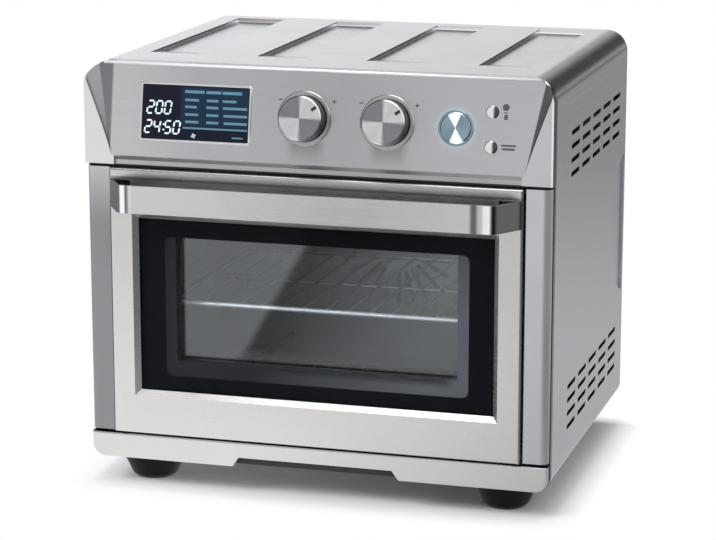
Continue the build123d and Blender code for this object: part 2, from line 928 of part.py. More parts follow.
with BuildPart() as temperature_probe:
    with BuildSketch(lathe(probe_spot)):
        Polygon(
            (0, -probe_reach),
            (probe_radius, -probe_reach),
            (probe_radius, 0),
            (probe_flange, 0),
            (probe_flange, probe_flange / 2),
            (0, probe_flange / 2),
            align=None,
        )
    revolve(axis=axis_of(probe_spot))
save(temperature_probe, "temperature_probe")

with BuildPart() as thermal_cutout:
    with BuildSketch(Plane.XY.offset(cavity_top)):
        with Locations((cutout_place_x, front + lamp_place_y)):
            Circle(cutout_radius)
    extrude(amount=cutout_height)
    chamfer(faces().sort_by(Axis.Z)[-1].edges(), sheet)
save(thermal_cutout, "thermal_cutout")

# Heat shield over the cavity and the power board on its posts
shield_top = cavity_top + shield_rise
board_y = front + power_board_place + power_board_depth / 2
board_low = shield_top + standoff_height
standoff_pitch_x = power_board_width - 4 * standoff_radius
standoff_pitch_y = power_board_depth - 4 * standoff_radius
with BuildPart() as heat_shield:
    with BuildSketch(across(bulkhead_back + shield_front + shield_length)):
        window(shield_half, cavity_top, shield_top)
        window(shield_half - sheet, cavity_top, shield_top - sheet, Mode.SUBTRACT)
    extrude(amount=shield_length)
    with BuildSketch(Plane.XY.offset(shield_top)):
        with Locations((0, board_y)):
            with GridLocations(standoff_pitch_x, standoff_pitch_y, 2, 2):
                RegularPolygon(standoff_radius, 6)
    extrude(amount=standoff_height)
save(heat_shield, "heat_shield")


with BuildPart() as power_board:
    with BuildSketch(Plane.XY.offset(board_low)):
        with Locations((0, board_y)):
            Rectangle(power_board_width, power_board_depth)
    extrude(amount=board_thickness)
    with BuildSketch(Plane.XY.offset(board_low + board_thickness)):
        with Locations((-power_board_width / 4, board_y - power_board_depth / 5)):
            Rectangle(transformer_side, transformer_side)
    extrude(amount=transformer_height)
    with BuildSketch(Plane.XY.offset(board_low + board_thickness)):
        with Locations((power_board_width / 5, board_y - power_board_depth / 5)):
            with GridLocations(relay_length * 1.2, relay_length * 1.2, 2, 2):
                Rectangle(relay_length, relay_width)
    extrude(amount=relay_width)
    with BuildSketch(Plane.XY.offset(board_low + board_thickness)):
        with Locations((-power_board_width / 5, board_y + power_board_depth / 4)):
            Circle(capacitor_radius)
    extrude(amount=capacitor_height)
save(power_board, "power_board")

# Rear panel with its vents, the cable inlet and the terminal block
with BuildPart() as rear_panel:
    with BuildSketch(across(rear_face)):
        section(rear_inset, foot_height + rear_inset, bottom_corner - rear_inset)
        for rows, middle in ((rear_vent_rows, fan_height), (rear_upper_rows, rear_upper_height)):
            with Locations((0, middle)):
                with GridLocations(rear_vent_spacing, rear_vent_pitch, rear_vent_columns, rows):
                    SlotOverall(rear_vent_length, rear_vent_width, mode=Mode.SUBTRACT)
        with Locations(*rear_screw_places):
            Circle(screw_radius + screw_fit, mode=Mode.SUBTRACT)
        with Locations((gland_x, gland_height)):
            Circle(gland_radius, mode=Mode.SUBTRACT)
    extrude(amount=sheet)
save(rear_panel, "rear_panel")

gland_spot = Plane(origin=(gland_x, rear_face, gland_height), x_dir=(1, 0, 0), z_dir=(0, 1, 0))
with BuildPart() as cable_gland:
    with BuildSketch(lathe(gland_spot)):
        Polygon(
            (gland_bore, -gland_inside),
            (gland_radius - screw_fit, -gland_inside),
            (gland_radius - screw_fit, 0),
            (gland_flange_radius, 0),
            (gland_flange_radius, gland_flange / 2),
            (gland_flange_radius - gland_flange / 2, gland_flange),
            (gland_bore, gland_flange),
            align=None,
        )
    revolve(axis=axis_of(gland_spot))
save(cable_gland, "cable_gland")

terminal_low = gland_height + gland_flange_radius + fit
with BuildPart() as terminal_block:
    with BuildSketch(across(rear_face - sheet)):
        with Locations((gland_x, terminal_low + terminal_height / 2)):
            Rectangle(terminal_width, terminal_height)
    extrude(amount=terminal_depth)
    with BuildSketch(across(rear_face - sheet - terminal_depth)):
        with Locations((gland_x, terminal_low + terminal_height / 2)):
            with GridLocations(terminal_width / 3, terminal_height / 2, 3, 2):
                Circle(screw_radius)
    extrude(amount=-terminal_depth / 2, mode=Mode.SUBTRACT)
save(terminal_block, "terminal_block")

# Screws of the rear panel and of the feet
with BuildPart() as body_screws:
    spots = [Plane(origin=(x, rear_face, z), z_dir=(0, 1, 0)) for x, z in rear_screw_places]
    screws(spots, body_screw_length)
    spots = [
        Plane(origin=(x, y, foot_bore_depth), z_dir=(0, 0, -1)) for x, y in foot_places.values()
    ]
    screws(spots, foot_screw_length)
save(body_screws, "body_screws")

# Control fascia: rolled shell with a sloping panel pressed into its face
panel_foot = fascia_bottom + lip_height
tilt = radians(panel_tilt)
panel_normal = (0, -cos(tilt), sin(tilt))
panel_edge = Plane(origin=(0, front, panel_foot), x_dir=(1, 0, 0), z_dir=panel_normal)
control_line = (control_height - panel_foot) / cos(tilt)
panel = Plane(
    origin=panel_edge.from_local_coords((0, control_line, 0)), x_dir=(1, 0, 0), z_dir=panel_normal
)
recess_high = top + 2 * panel_wall
recess_out = 2 * lip_depth
rise_share = (recess_high - panel_foot) / (top - panel_foot)
panel_top_depth = (top - panel_foot) * tan(tilt)
wall_slope = (opening_half_high - panel_half_high) / panel_top_depth
recess_half_high = opening_half_high + wall_slope * recess_out
recess_spread = (recess_half_high - opening_half_low) * rise_share
panel_spread = (panel_half_high - panel_half_low) * rise_share
core_front = front + lip_depth + panel_wall
core_low = fascia_bottom + panel_wall
wall_line = panel_wall / cos(tilt)
with BuildPart() as fascia_band:
    with BuildSketch(across(front)):
        section(0, fascia_bottom, 0)
    extrude(amount=-bulkhead_place)
    with BuildSketch(Plane.YZ):
        add(front_space(band_depth))
    extrude(amount=width, both=True, mode=Mode.INTERSECT)

with BuildPart() as fascia_core:
    with BuildSketch(across(front)):
        section(sheet + fit + panel_wall, core_low, 0)
    extrude(amount=-2 * bulkhead_place)
    with BuildSketch(Plane.YZ):
        Polygon(
            (core_front, core_low - far),
            (core_front, panel_foot + panel_wall),
            (front + wall_line + panel_wall * tan(tilt), panel_foot + panel_wall),
            (front + wall_line + (recess_high - panel_foot) * tan(tilt), recess_high),
            (front - far, recess_high),
            (front - far, core_low - far),
            align=None,
        )
    extrude(amount=width, both=True, mode=Mode.SUBTRACT)

small_places = [
    (small_button_place, start_place[1] + side * small_button_spread) for side in (-1, 1)
]
post_places = [(share * half, side * post_rise) for share in post_shares for side in (-1, 1)]
with BuildPart() as control_fascia:
    with BuildSketch(across(front)):
        section(sheet + fit, fascia_bottom, 0)
    extrude(amount=-bulkhead_place)
    add(fascia_band.part)
    with BuildSketch(Plane.YZ):
        add(front_space(0))
    extrude(amount=width, both=True, mode=Mode.SUBTRACT)
    add(fascia_core.part, mode=Mode.SUBTRACT)
    # Recess that spreads from the panel out to the front edges
    with BuildSketch(across(front - recess_out)):
        Polygon(
            (-opening_half_low, panel_foot),
            (opening_half_low, panel_foot),
            (opening_half_low + recess_spread, recess_high),
            (-opening_half_low - recess_spread, recess_high),
            align=None,
        )
    with BuildSketch(panel_edge):
        Polygon(
            (-panel_half_low, 0),
            (panel_half_low, 0),
            (panel_half_low + panel_spread, (recess_high - panel_foot) / cos(tilt)),
            (-panel_half_low - panel_spread, (recess_high - panel_foot) / cos(tilt)),
            align=None,
        )
    loft(ruled=True, mode=Mode.SUBTRACT)
    # Sloping lip under the panel
    with BuildSketch(Plane.YZ):
        Polygon(
            (front - lip_depth, panel_foot),
            (front, panel_foot),
            (front + lip_depth, fascia_bottom + lip_flange),
            (front + lip_depth, fascia_bottom - seam),
            (front - lip_depth, fascia_bottom - seam),
            align=None,
        )
    extrude(amount=half - lip_inset, both=True, mode=Mode.SUBTRACT)
    # Openings for the display, the encoders and the buttons, and posts for the board
    with BuildSketch(panel):
        with Locations((display_place, 0)):
            RectangleRounded(
                display_width - 2 * bezel_lap, display_height - 2 * bezel_lap, display_corner
            )
        with Locations(*[(x, 0) for x in knob_places.values()]):
            Circle(encoder_bush_radius + fit)
        with Locations(start_place):
            Circle(start_ring_radius - ring_lap)
        with Locations(*small_places):
            Circle(small_button_radius + button_gap)
    extrude(amount=-2 * panel_wall, mode=Mode.SUBTRACT)
    with BuildSketch(panel.offset(-panel_wall / 2)):
        with Locations(*post_places):
            Circle(post_radius)
    extrude(amount=panel_wall / 2 - control_board_back)
save(control_fascia, "control_fascia")

# Display: bezel, lens and module
display_spot = Plane(
    origin=panel.from_local_coords((display_place, 0, 0)), x_dir=(1, 0, 0), z_dir=panel_normal
)
bezel_inner = display_width - 2 * bezel_width
bezel_inner_high = display_height - 2 * bezel_width
bezel_skirt = 2 * (bezel_lap + screw_fit)
with BuildPart() as display_bezel:
    with BuildSketch(display_spot):
        RectangleRounded(display_width, display_height, display_corner)
    extrude(amount=bezel_rise)
    chamfer(faces().sort_by(Axis(display_spot.origin, panel_normal))[-1].edges(), bezel_rise / 2)
    with BuildSketch(display_spot):
        RectangleRounded(
            display_width - bezel_skirt, display_height - bezel_skirt, display_corner - screw_fit
        )
    extrude(amount=-panel_wall)
    with BuildSketch(display_spot.offset(bezel_rise)):
        RectangleRounded(bezel_inner, bezel_inner_high, display_corner / 2)
    extrude(amount=-panel_wall - bezel_rise, mode=Mode.SUBTRACT)
save(display_bezel, "display_bezel")

lens_low = lens_rise - lens_thickness
with BuildPart() as display_lens:
    with BuildSketch(display_spot.offset(lens_low)):
        RectangleRounded(
            bezel_inner - 2 * screw_fit, bezel_inner_high - 2 * screw_fit, display_corner / 2
        )
    extrude(amount=lens_thickness)
save(display_lens, "display_lens")

with BuildPart() as display_module:
    with BuildSketch(display_spot.offset(lens_low)):
        Rectangle(bezel_inner - 2 * module_inset, bezel_inner_high - 2 * module_inset)
    extrude(amount=-(control_board_back + lens_low))
save(display_module, "display_module")

# Knobs, each with its ring, shaft and encoder
knob_low = knob_ring_floor + fit + screw_fit
bore_top = knob_low + knob_bore_depth
knob_spots = {
    side: Plane(origin=panel.from_local_coords((x, 0, 0)), x_dir=(1, 0, 0), z_dir=panel_normal)
    for side, x in knob_places.items()
}
with BuildPart() as knob_rings:
    for spot in knob_spots.values():
        with BuildSketch(lathe(spot)):
            Polygon(
                (encoder_bush_radius + 2 * fit, 0),
                (knob_ring_radius, 0),
                (knob_ring_radius, knob_ring_rise - knob_ring_floor),
                (knob_ring_radius - knob_ring_floor, knob_ring_rise),
                (knob_radius + knob_gap, knob_ring_rise),
                (knob_radius + knob_gap, knob_ring_floor),
                (encoder_bush_radius + 2 * fit, knob_ring_floor),
                align=None,
            )
        revolve(axis=axis_of(spot))
save(knob_rings, "knob_rings")

for side, spot in knob_spots.items():
    with BuildPart() as knob:
        with BuildSketch(lathe(spot)):
            Polygon(
                (knob_radius - knob_wall, knob_low),
                (knob_radius, knob_low),
                (knob_face_radius, knob_rise - knob_edge),
                (knob_face_radius - knob_edge, knob_rise),
                (0, knob_rise),
                (0, bore_top),
                (shaft_radius + pin_seat, bore_top),
                (shaft_radius + pin_seat, knob_low + knob_wall),
                (knob_boss_radius, knob_low + knob_wall),
                (knob_boss_radius, knob_rise - knob_wall),
                (knob_radius - knob_wall, knob_rise - knob_wall),
                align=None,
            )
        revolve(axis=axis_of(spot))
    save(knob, f"{side}_knob")

    with BuildPart() as encoder_shaft:
        with BuildSketch(spot.offset(encoder_seat - control_board_back)):
            Circle(shaft_radius)
        extrude(amount=control_board_back - encoder_seat + bore_top)
    save(encoder_shaft, f"{side}_encoder_shaft")

with BuildPart() as encoders:
    for spot in knob_spots.values():
        with BuildSketch(spot.offset(-control_board_back)):
            Rectangle(2 * encoder_half, 2 * encoder_half)
        extrude(amount=encoder_depth)
        with BuildSketch(spot.offset(-control_board_back)):
            Circle(encoder_bush_radius)
        extrude(amount=control_board_back + knob_ring_floor)
        with BuildSketch(spot.offset(encoder_seat - control_board_back - fit)):
            Circle(shaft_radius + shaft_fit)
        extrude(amount=2 * control_board_back, mode=Mode.SUBTRACT)
save(encoders, "encoders")

# Start button in its ring
lip_top = -(panel_wall + fit)
start_spot = Plane(
    origin=panel.from_local_coords((*start_place, 0)), x_dir=(1, 0, 0), z_dir=panel_normal
)
ring_skirt = start_ring_radius - ring_lap - screw_fit
with BuildPart() as start_ring:
    with BuildSketch(lathe(start_spot)):
        Polygon(
            (start_radius + button_gap, -panel_wall),
            (ring_skirt, -panel_wall),
            (ring_skirt, 0),
            (start_ring_radius, 0),
            (start_ring_radius, start_ring_rise - ring_edge),
            (start_ring_radius - ring_edge, start_ring_rise),
            (start_radius + button_gap, start_ring_rise),
            align=None,
        )
    revolve(axis=axis_of(start_spot))
save(start_ring, "start_ring")


def button_profile(radius, rise, travel):
    """Half profile of a button: cap, lip behind the panel and stem down to its switch."""
    stem_end = -(control_board_back - switch_height - fit - travel)
    Polygon(
        (0, rise),
        (radius - button_edge, rise),
        (radius, rise - button_edge),
        (radius, lip_top),
        (radius + button_lip, lip_top),
        (radius + button_lip, lip_top - button_lip_depth),
        (button_stem_radius, lip_top - button_lip_depth),
        (button_stem_radius, stem_end),
        (0, stem_end),
        align=None,
    )


buttons = {
    "start_button": (start_place, start_radius, start_rise, start_travel),
    "lower_button": (small_places[0], small_button_radius, small_button_rise, small_button_travel),
    "upper_button": (small_places[1], small_button_radius, small_button_rise, small_button_travel),
}
for name, (place, radius, rise, travel) in buttons.items():
    spot = Plane(
        origin=panel.from_local_coords((*place, 0)), x_dir=(1, 0, 0), z_dir=panel_normal
    )
    with BuildPart() as button:
        with BuildSketch(lathe(spot)):
            button_profile(radius, rise, travel)
        revolve(axis=axis_of(spot))
    save(button, name)

# Control board behind the panel, with a switch under each button
with BuildPart() as control_board:
    with BuildSketch(panel.offset(-control_board_back)):
        Rectangle(2 * (half - control_board_inset), 2 * control_board_rise)
    extrude(amount=-board_thickness)
    with BuildSketch(panel.offset(-control_board_back)):
        with Locations(start_place, *small_places):
            Rectangle(2 * switch_half, 2 * switch_half)
    extrude(amount=switch_height)
    with BuildSketch(panel.offset(-control_board_back - board_thickness)):
        with Locations((post_places[2][0], 0)):
            Rectangle(relay_length, relay_length)
    extrude(amount=-switch_height)
save(control_board, "control_board")

# Door skin: pressed pan with a bevelled window
with BuildPart() as door_skin:
    with BuildSketch(across(door_face + door_wrap_depth)):
        window(door_half, door_bottom, door_top)
    extrude(amount=door_wrap_depth)
    fillet(faces().sort_by(Axis.Y)[0].edges(), door_edge)
    offset(amount=-sheet, openings=faces().sort_by(Axis.Y)[-1])
    for grow, mode in ((sheet, Mode.ADD), (0, Mode.SUBTRACT)):
        wide = bevel_width + grow
        with BuildSketch(across(door_face)):
            window(window_half + wide, window_low - wide, window_high + wide)
        with BuildSketch(across(front)):
            window(window_half + grow, window_low - grow, window_high + grow)
        loft(ruled=True, mode=mode)
    for side in (-1, 1):
        slot_in = side * (ear_inner_x - ear_gap)
        slot_out = side * (ear_inner_x + ear_thickness + ear_gap)
        block(
            min(slot_in, slot_out),
            max(slot_in, slot_out),
            door_face + sheet,
            door_face + door_wrap_depth + sheet,
            door_bottom - sheet,
            door_bottom + 3 * sheet,
            Mode.SUBTRACT,
        )
    with BuildSketch(across(door_face)):
        with Locations(*handle_screw_places):
            Circle(screw_radius + screw_fit)
    extrude(amount=-2 * sheet, mode=Mode.SUBTRACT)
save(door_skin, "door_skin")

# Door glazing: outer pane, its carrier with the inner pane, and the inner frame
with BuildPart() as outer_glass:
    with BuildSketch(across(front + glass_thickness)):
        window(window_half + glass_lap, window_low - glass_lap, window_high + glass_lap)
        fillet(vertices(), glass_corner)
    extrude(amount=glass_thickness)
save(outer_glass, "outer_glass")

carrier_back = front + inner_frame_back - inner_frame_sheet
rebate = inner_glass_lap + fit
with BuildPart() as glass_carrier:
    with BuildSketch(across(carrier_back)):
        window(carrier_half, carrier_low, carrier_high)
        window(inner_window_half, inner_window_low, inner_window_high, Mode.SUBTRACT)
    extrude(amount=carrier_back - front - glass_thickness)
    with BuildSketch(across(carrier_back)):
        window(inner_window_half + rebate, inner_window_low - rebate, inner_window_high + rebate)
    extrude(amount=inner_glass_thickness, mode=Mode.SUBTRACT)
save(glass_carrier, "glass_carrier")

with BuildPart() as inner_glass:
    with BuildSketch(across(carrier_back)):
        window(
            inner_window_half + inner_glass_lap,
            inner_window_low - inner_glass_lap,
            inner_window_high + inner_glass_lap,
        )
        fillet(vertices(), glass_corner)
    extrude(amount=inner_glass_thickness)
save(inner_glass, "inner_glass")

inner_frame_half = door_half - sheet - fit
inner_frame_high = door_top - sheet - fit
with BuildPart() as door_inner_frame:
    with BuildSketch(across(front + inner_frame_back)):
        window(inner_frame_half, inner_frame_low, inner_frame_high)
    extrude(amount=inner_frame_back - glass_thickness)
    fillet(faces().sort_by(Axis.Y)[-1].edges(), door_edge)
    offset(amount=-inner_frame_sheet, openings=faces().sort_by(Axis.Y)[0])
    with BuildSketch(across(front + inner_frame_back)):
        window(inner_window_half, inner_window_low, inner_window_high)
    extrude(amount=2 * inner_frame_sheet, mode=Mode.SUBTRACT)
save(door_inner_frame, "door_inner_frame")

# Hinges: an ear on the frame between two plates on the door, with a pin through them
ear_outer_x = ear_inner_x + ear_thickness
arm_inner_x = ear_inner_x - ear_gap - arm_plate
arm_outer_x = ear_outer_x + ear_gap + arm_plate
with BuildPart() as hinge_brackets:
    for side in (-1, 1):
        with BuildSketch(Plane.YZ.offset(side * ear_inner_x)):
            with Locations((front, hinge_height)):
                Circle(ear_radius)
            with Locations((front + bulkhead_place / 2, hinge_height)):
                Rectangle(bulkhead_place, 2 * ear_radius)
            with Locations((front, hinge_height)):
                Circle(pin_radius + pin_fit, mode=Mode.SUBTRACT)
        extrude(amount=side * ear_thickness)
        foot_x = side * (ear_inner_x + (ear_thickness - hinge_foot_reach) / 2)
        foot_z = hinge_height - ear_radius + hinge_foot_height / 2
        with BuildSketch(across(bulkhead_front)):
            with Locations((foot_x, foot_z)):
                Rectangle(ear_thickness + hinge_foot_reach, hinge_foot_height)
        extrude(amount=hinge_foot)
save(hinge_brackets, "hinge_brackets")

for side, name in ((-1, "hinge_arm_left"), (1, "hinge_arm_right")):
    with BuildPart() as hinge_arm:
        with BuildSketch(Plane.YZ.offset(side * arm_inner_x)):
            with Locations((front, (arm_low + inner_frame_low) / 2)):
                Rectangle(2 * arm_half, inner_frame_low - arm_low)
            with Locations((front - arm_half + arm_depth / 2, inner_frame_low - arm_web / 2)):
                Rectangle(arm_depth, arm_web)
        extrude(amount=side * (arm_outer_x - arm_inner_x))
        with BuildSketch(Plane.YZ.offset(side * (ear_inner_x - ear_gap))):
            with Locations((front, hinge_height)):
                Rectangle(2 * arm_depth, 2 * (inner_frame_low - arm_web - hinge_height))
        extrude(amount=side * (ear_thickness + 2 * ear_gap), mode=Mode.SUBTRACT)
        with BuildSketch(Plane.YZ.offset(side * arm_inner_x)):
            with Locations((front, hinge_height)):
                Circle(pin_radius + pin_seat)
        extrude(amount=side * (arm_outer_x - arm_inner_x), mode=Mode.SUBTRACT)
    save(hinge_arm, name)

with BuildPart() as hinge_pins:
    for side in (-1, 1):
        with BuildSketch(Plane.YZ.offset(side * arm_inner_x)):
            with Locations((front, hinge_height)):
                Circle(pin_radius)
        extrude(amount=side * (arm_outer_x - arm_inner_x + pin_head))
        with BuildSketch(Plane.YZ.offset(side * arm_outer_x)):
            with Locations((front, hinge_height)):
                Circle(pin_head_radius)
        extrude(amount=side * pin_head)
save(hinge_pins, "hinge_pins")

# Handle: one bent plate with tabs against the door, and its screws from inside
handle_front = front - handle_reach
handle_bend_inner = handle_front_half - handle_bend_step
tab_back = door_face - handle_plate
with BuildPart() as handle:
    with BuildSketch(Plane.XY.offset(handle_low)):
        Polygon(
            (-handle_foot_half, door_face),
            (-handle_front_half, handle_front),
            (handle_front_half, handle_front),
            (handle_foot_half, door_face),
            (handle_foot_half - handle_tab, door_face),
            (handle_foot_half - handle_tab, tab_back),
            (handle_foot_half - handle_tab_step, tab_back),
            (handle_bend_inner, handle_front + handle_plate),
            (-handle_bend_inner, handle_front + handle_plate),
            (-handle_foot_half + handle_tab_step, tab_back),
            (-handle_foot_half + handle_tab, tab_back),
            (-handle_foot_half + handle_tab, door_face),
            align=None,
        )
        fillet(vertices().group_by(Axis.Y)[0], handle_bend)
        fillet(vertices().group_by(Axis.Y)[1], handle_bend - handle_plate)
    extrude(amount=handle_height)
    with BuildSketch(across(door_face)):
        with Locations(*handle_screw_places):
            Circle(screw_radius + pin_fit)
    extrude(amount=handle_plate, mode=Mode.SUBTRACT)
save(handle, "handle")

with BuildPart() as handle_screws:
    spots = [
        Plane(origin=(x, door_face + sheet, z), z_dir=(0, 1, 0)) for x, z in handle_screw_places
    ]
    screws(spots, sheet + handle_plate - fit)
save(handle_screws, "handle_screws")

# Crumb drawer: full-width front with a finger notch, and the tray behind it
tray_front = front + tray_setback
tray_top = drawer_top - drawer_sheet
with BuildPart() as drawer_front:
    with BuildSketch(across(front + drawer_flange)):
        window(half - front_inset, foot_height, drawer_top)
        fillet(vertices().group_by(Axis.Y)[0], bottom_corner)
    extrude(amount=drawer_flange)
    fillet(faces().sort_by(Axis.Y)[0].edges(), drawer_edge)
    offset(amount=-drawer_sheet, openings=faces().sort_by(Axis.Y)[-1])
    with BuildSketch(Plane.XY.offset(tray_top)):
        with Locations((0, front + (drawer_flange + tray_setback + drawer_sheet) / 2)):
            Rectangle(2 * tray_half, tray_setback + drawer_sheet - drawer_flange)
    extrude(amount=drawer_sheet)
    with BuildSketch(across(front + drawer_flange)):
        Polygon(
            (-notch_bottom_half, foot_height),
            (notch_bottom_half, foot_height),
            (notch_top_half, foot_height + notch_height),
            (-notch_top_half, foot_height + notch_height),
            align=None,
        )
    extrude(amount=drawer_flange, mode=Mode.SUBTRACT)
save(drawer_front, "drawer_front")

with BuildPart() as crumb_tray:
    with BuildSketch(Plane.XY.offset(tray_low)):
        with Locations((0, tray_front + tray_length / 2)):
            Rectangle(2 * tray_half, tray_length)
    extrude(amount=tray_top - tray_low)
    fillet(edges().filter_by(Axis.Z), tray_edge_radius)
    offset(amount=-tray_sheet, openings=faces().sort_by(Axis.Z)[-1])
    # Finger plate, folded down behind the notch of the front
    with BuildSketch(across(tray_front + tray_sheet)):
        window(notch_bottom_half, foot_height, tray_low + tray_edge_radius)
    extrude(amount=tray_sheet)
save(crumb_tray, "crumb_tray")

wall = tray_half + tray_runner_gap
with BuildPart() as tray_runners:
    for side in (-1, 1):
        with BuildSketch(across(base_front + runner_length)):
            Polygon(
                (side * wall, base_top),
                (side * (wall + tray_runner_foot), base_top),
                (side * (wall + tray_runner_foot), base_top + sheet),
                (side * (wall + sheet), base_top + sheet),
                (side * (wall + sheet), tray_top),
                (side * wall, tray_top),
                (side * wall, tray_low - fit),
                (side * (wall - tray_runner_ledge), tray_low - fit),
                (side * (wall - tray_runner_ledge), tray_low - fit - sheet),
                (side * wall, tray_low - fit - sheet),
                align=None,
            )
        extrude(amount=runner_length)
save(tray_runners, "tray_runners")
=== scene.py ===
from math import cos, pi, radians, sin

import bmesh
import bpy
from mathutils import Matrix, Vector


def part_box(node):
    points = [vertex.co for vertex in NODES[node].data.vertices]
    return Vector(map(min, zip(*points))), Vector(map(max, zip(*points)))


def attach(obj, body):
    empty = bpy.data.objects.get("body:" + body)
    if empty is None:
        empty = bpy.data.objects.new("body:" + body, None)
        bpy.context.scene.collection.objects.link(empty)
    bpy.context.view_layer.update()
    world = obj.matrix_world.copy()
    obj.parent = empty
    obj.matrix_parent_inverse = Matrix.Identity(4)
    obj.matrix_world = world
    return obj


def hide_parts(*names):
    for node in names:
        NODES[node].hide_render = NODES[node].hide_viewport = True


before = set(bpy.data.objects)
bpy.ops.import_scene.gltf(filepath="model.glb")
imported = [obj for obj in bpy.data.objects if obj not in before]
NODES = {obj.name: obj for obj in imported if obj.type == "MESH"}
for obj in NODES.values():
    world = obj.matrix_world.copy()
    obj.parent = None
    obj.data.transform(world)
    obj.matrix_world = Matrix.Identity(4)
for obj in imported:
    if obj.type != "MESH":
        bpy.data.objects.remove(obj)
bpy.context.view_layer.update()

bl_info = {
    "name": "Air Fryer Oven Finishes",
    "version": (1, 0, 0),
    "blender": (4, 5, 0),
    "location": "View3D > Sidebar > Oven",
    "description": "Dresses the packed oven with its metals, glass, display and studio",
    "category": "Object",
}

BLACK = (0, 0, 0)
WHITE = (1, 1, 1)

# The sloping panel: its centre, and its directions to the right, up and outwards
PANEL_TILT = radians(10)
PANEL_CENTRE = Vector((0, -0.1441, 0.3403))
RIGHT = Vector((1, 0, 0))
UP = Vector((0, sin(PANEL_TILT), cos(PANEL_TILT)))
OUT = Vector((0, -cos(PANEL_TILT), sin(PANEL_TILT)))
PANEL = Matrix.Translation(PANEL_CENTRE) @ Matrix((RIGHT, UP, OUT)).transposed().to_4x4()

# Places on the panel, in metres to the right, up and outwards from its centre
DISPLAY_X = -0.109
KNOB_X = {"left_knob": -0.0097, "right_knob": 0.0643}
KNOB_BODY = {"left_knob": "knob_left", "right_knob": "knob_right"}
KNOB_RISE = 0.0160
START = (0.1245, -0.0018)
BUTTON_X = 0.1554
BUTTON_SPREAD = 0.0149

# Thickness of a printed or lit mark, and the height of its middle over the panel and the display
PRINT = 0.00006
PRINT_RISE = PRINT / 2
SCREEN_RISE = 0.0004 + PRINT_RISE

# Marks beside the dials: minus at the left and plus at the right
DIAL_MARKS = ((-0.0320, 0.0162), (0.0404, 0.0896))
DIAL_MARK_Y = 0.0156
DIAL_MARK_SIZE = (0.0036, 0.0010, PRINT)
PLUS_HALF_SIZE = (0.0010, 0.0013, PRINT)
PLUS_HALF_Y = 0.00115

# Marks beside the two small buttons: a dot, and bars with their middles and sizes
BUTTON_DOT = (0.1669, 0.0175, PRINT_RISE)
BUTTON_DOT_RADIUS = 0.0030
BUTTON_BARS = (
    (0.1669, 0.0128, 0.0030, 0.0010), (0.1672, 0.0092, 0.0030, 0.0042),
    (0.1705, -0.0146, 0.0130, 0.0016), (0.1705, -0.0176, 0.0110, 0.0018),
)

# Pointer on a dial: its turn, and its middle and size along the turned direction
POINTER_TURN = radians(35)
POINTER_MIDDLE = (0.0153, 0, PRINT_RISE)
POINTER_SIZE = (0.0052, 0.0027, PRINT)

# Painted glow of the start light on the panel round the start button, from where it ends to where it is full
START_HALO = (0.0215, 0.0135)

# Lit field on the display: its middle, and its edges outwards from there
FIELD_MIDDLE = (DISPLAY_X + 0.0178, 0.0055)
FIELD_SIDE = (0.0325, 0.0295)
FIELD_TOP = (0.0185, 0.0155)

# Left end and middle of the two readings, from the display's middle
UPPER_READING = (-0.0414, 0.0040)
LOWER_READING = (-0.0430, -0.0130)

# Segments of a digit, as their middles and whether they lie flat, on a cell one high
SEGMENTS = {
    "a": (0, 0.5, True), "g": (0, 0, True), "d": (0, -0.5, True),
    "f": (-0.5, 0.25, False), "b": (0.5, 0.25, False),
    "e": (-0.5, -0.25, False), "c": (0.5, -0.25, False),
}
DIGITS = {
    "0": "abcdef", "1": "bc", "2": "abged", "3": "abgcd", "4": "fgbc",
    "5": "afgcd", "6": "afgedc", "7": "abc", "8": "abcdefg", "9": "abcdfg",
}
DIGIT_WIDTH = 0.50
DIGIT_STROKE = 0.13
DIGIT_LEAN = 0.14
DIGIT_STEP = 0.0080
COLON_RISE = 0.22
COLON_BACK = 0.0018
COLON_STEP = 0.0022

# Rows of bars on the display, in millimetres: height of the row, thickness, and each bar's two ends
BAR_ROWS = (
    (18.6, 2.6, (-10.2, 7.6), (9.4, 23.0), (24.3, 42.0)),
    (11.4, 2.2, (-9.8, 2.9), (10.0, 20.6), (24.5, 37.2)),
    (5.4, 2.2, (-9.6, 1.0), (9.9, 21.0), (25.0, 47.2)),
    (-1.2, 2.2, (-9.4, 2.8), (10.2, 21.2), (25.8, 47.5)),
    (-7.6, 2.2, (-9.0, 3.0), (10.4, 21.4), (26.4, 47.6)),
    (-13.0, 1.5, (-11.0, 48.0)),
)
LAST_BAR = ((DISPLAY_X + 0.0393, -0.0199, SCREEN_RISE), (0.0100, 0.0012, PRINT))
FAN_SIGN = (DISPLAY_X - 0.0010, -0.0196, SCREEN_RISE)
FAN_BLADE = ((0.0012, 0.0005, 0), (0.0017, 0.0014, PRINT))

# Black strip in the seam under the panel, a painted shadow, and a pale bead on its top edge, a painted
# highlight
SEAM_SHADOW_MIDDLE = (0, -0.1465, 0.2920)
SEAM_SHADOW_SIZE = (0.4150, 0.0040, 0.0018)
SEAM_SHADOW_BEVEL = 0.0003
BEAD_MIDDLE = (0, -0.1372, 0.3813)
BEAD_LENGTH = 0.3920
BEAD_RADIUS = 0.0013

# Bevel of the door glass, room for the print behind it, and the print's place and thickness
GLASS_BEVEL = 0.0006
MASK_ROOM = 0.00014
MASK_IN = 0.0001
MASK_THICKNESS = 0.00008

# Painted light and shade along the roof's rounded right edge, standing in for its reflections, by how far
# its surface turns to the right
ROOF_PAINTED_BANDS = (
    (0.0, 1.0), (0.05, 0.45), (0.10, 0.66), (0.20, 0.11), (0.40, 0.10), (0.60, 0.20), (0.75, 0.55),
    (0.90, 0.70), (0.96, 0.22), (0.985, 0.34), (0.998, 1.0),
)
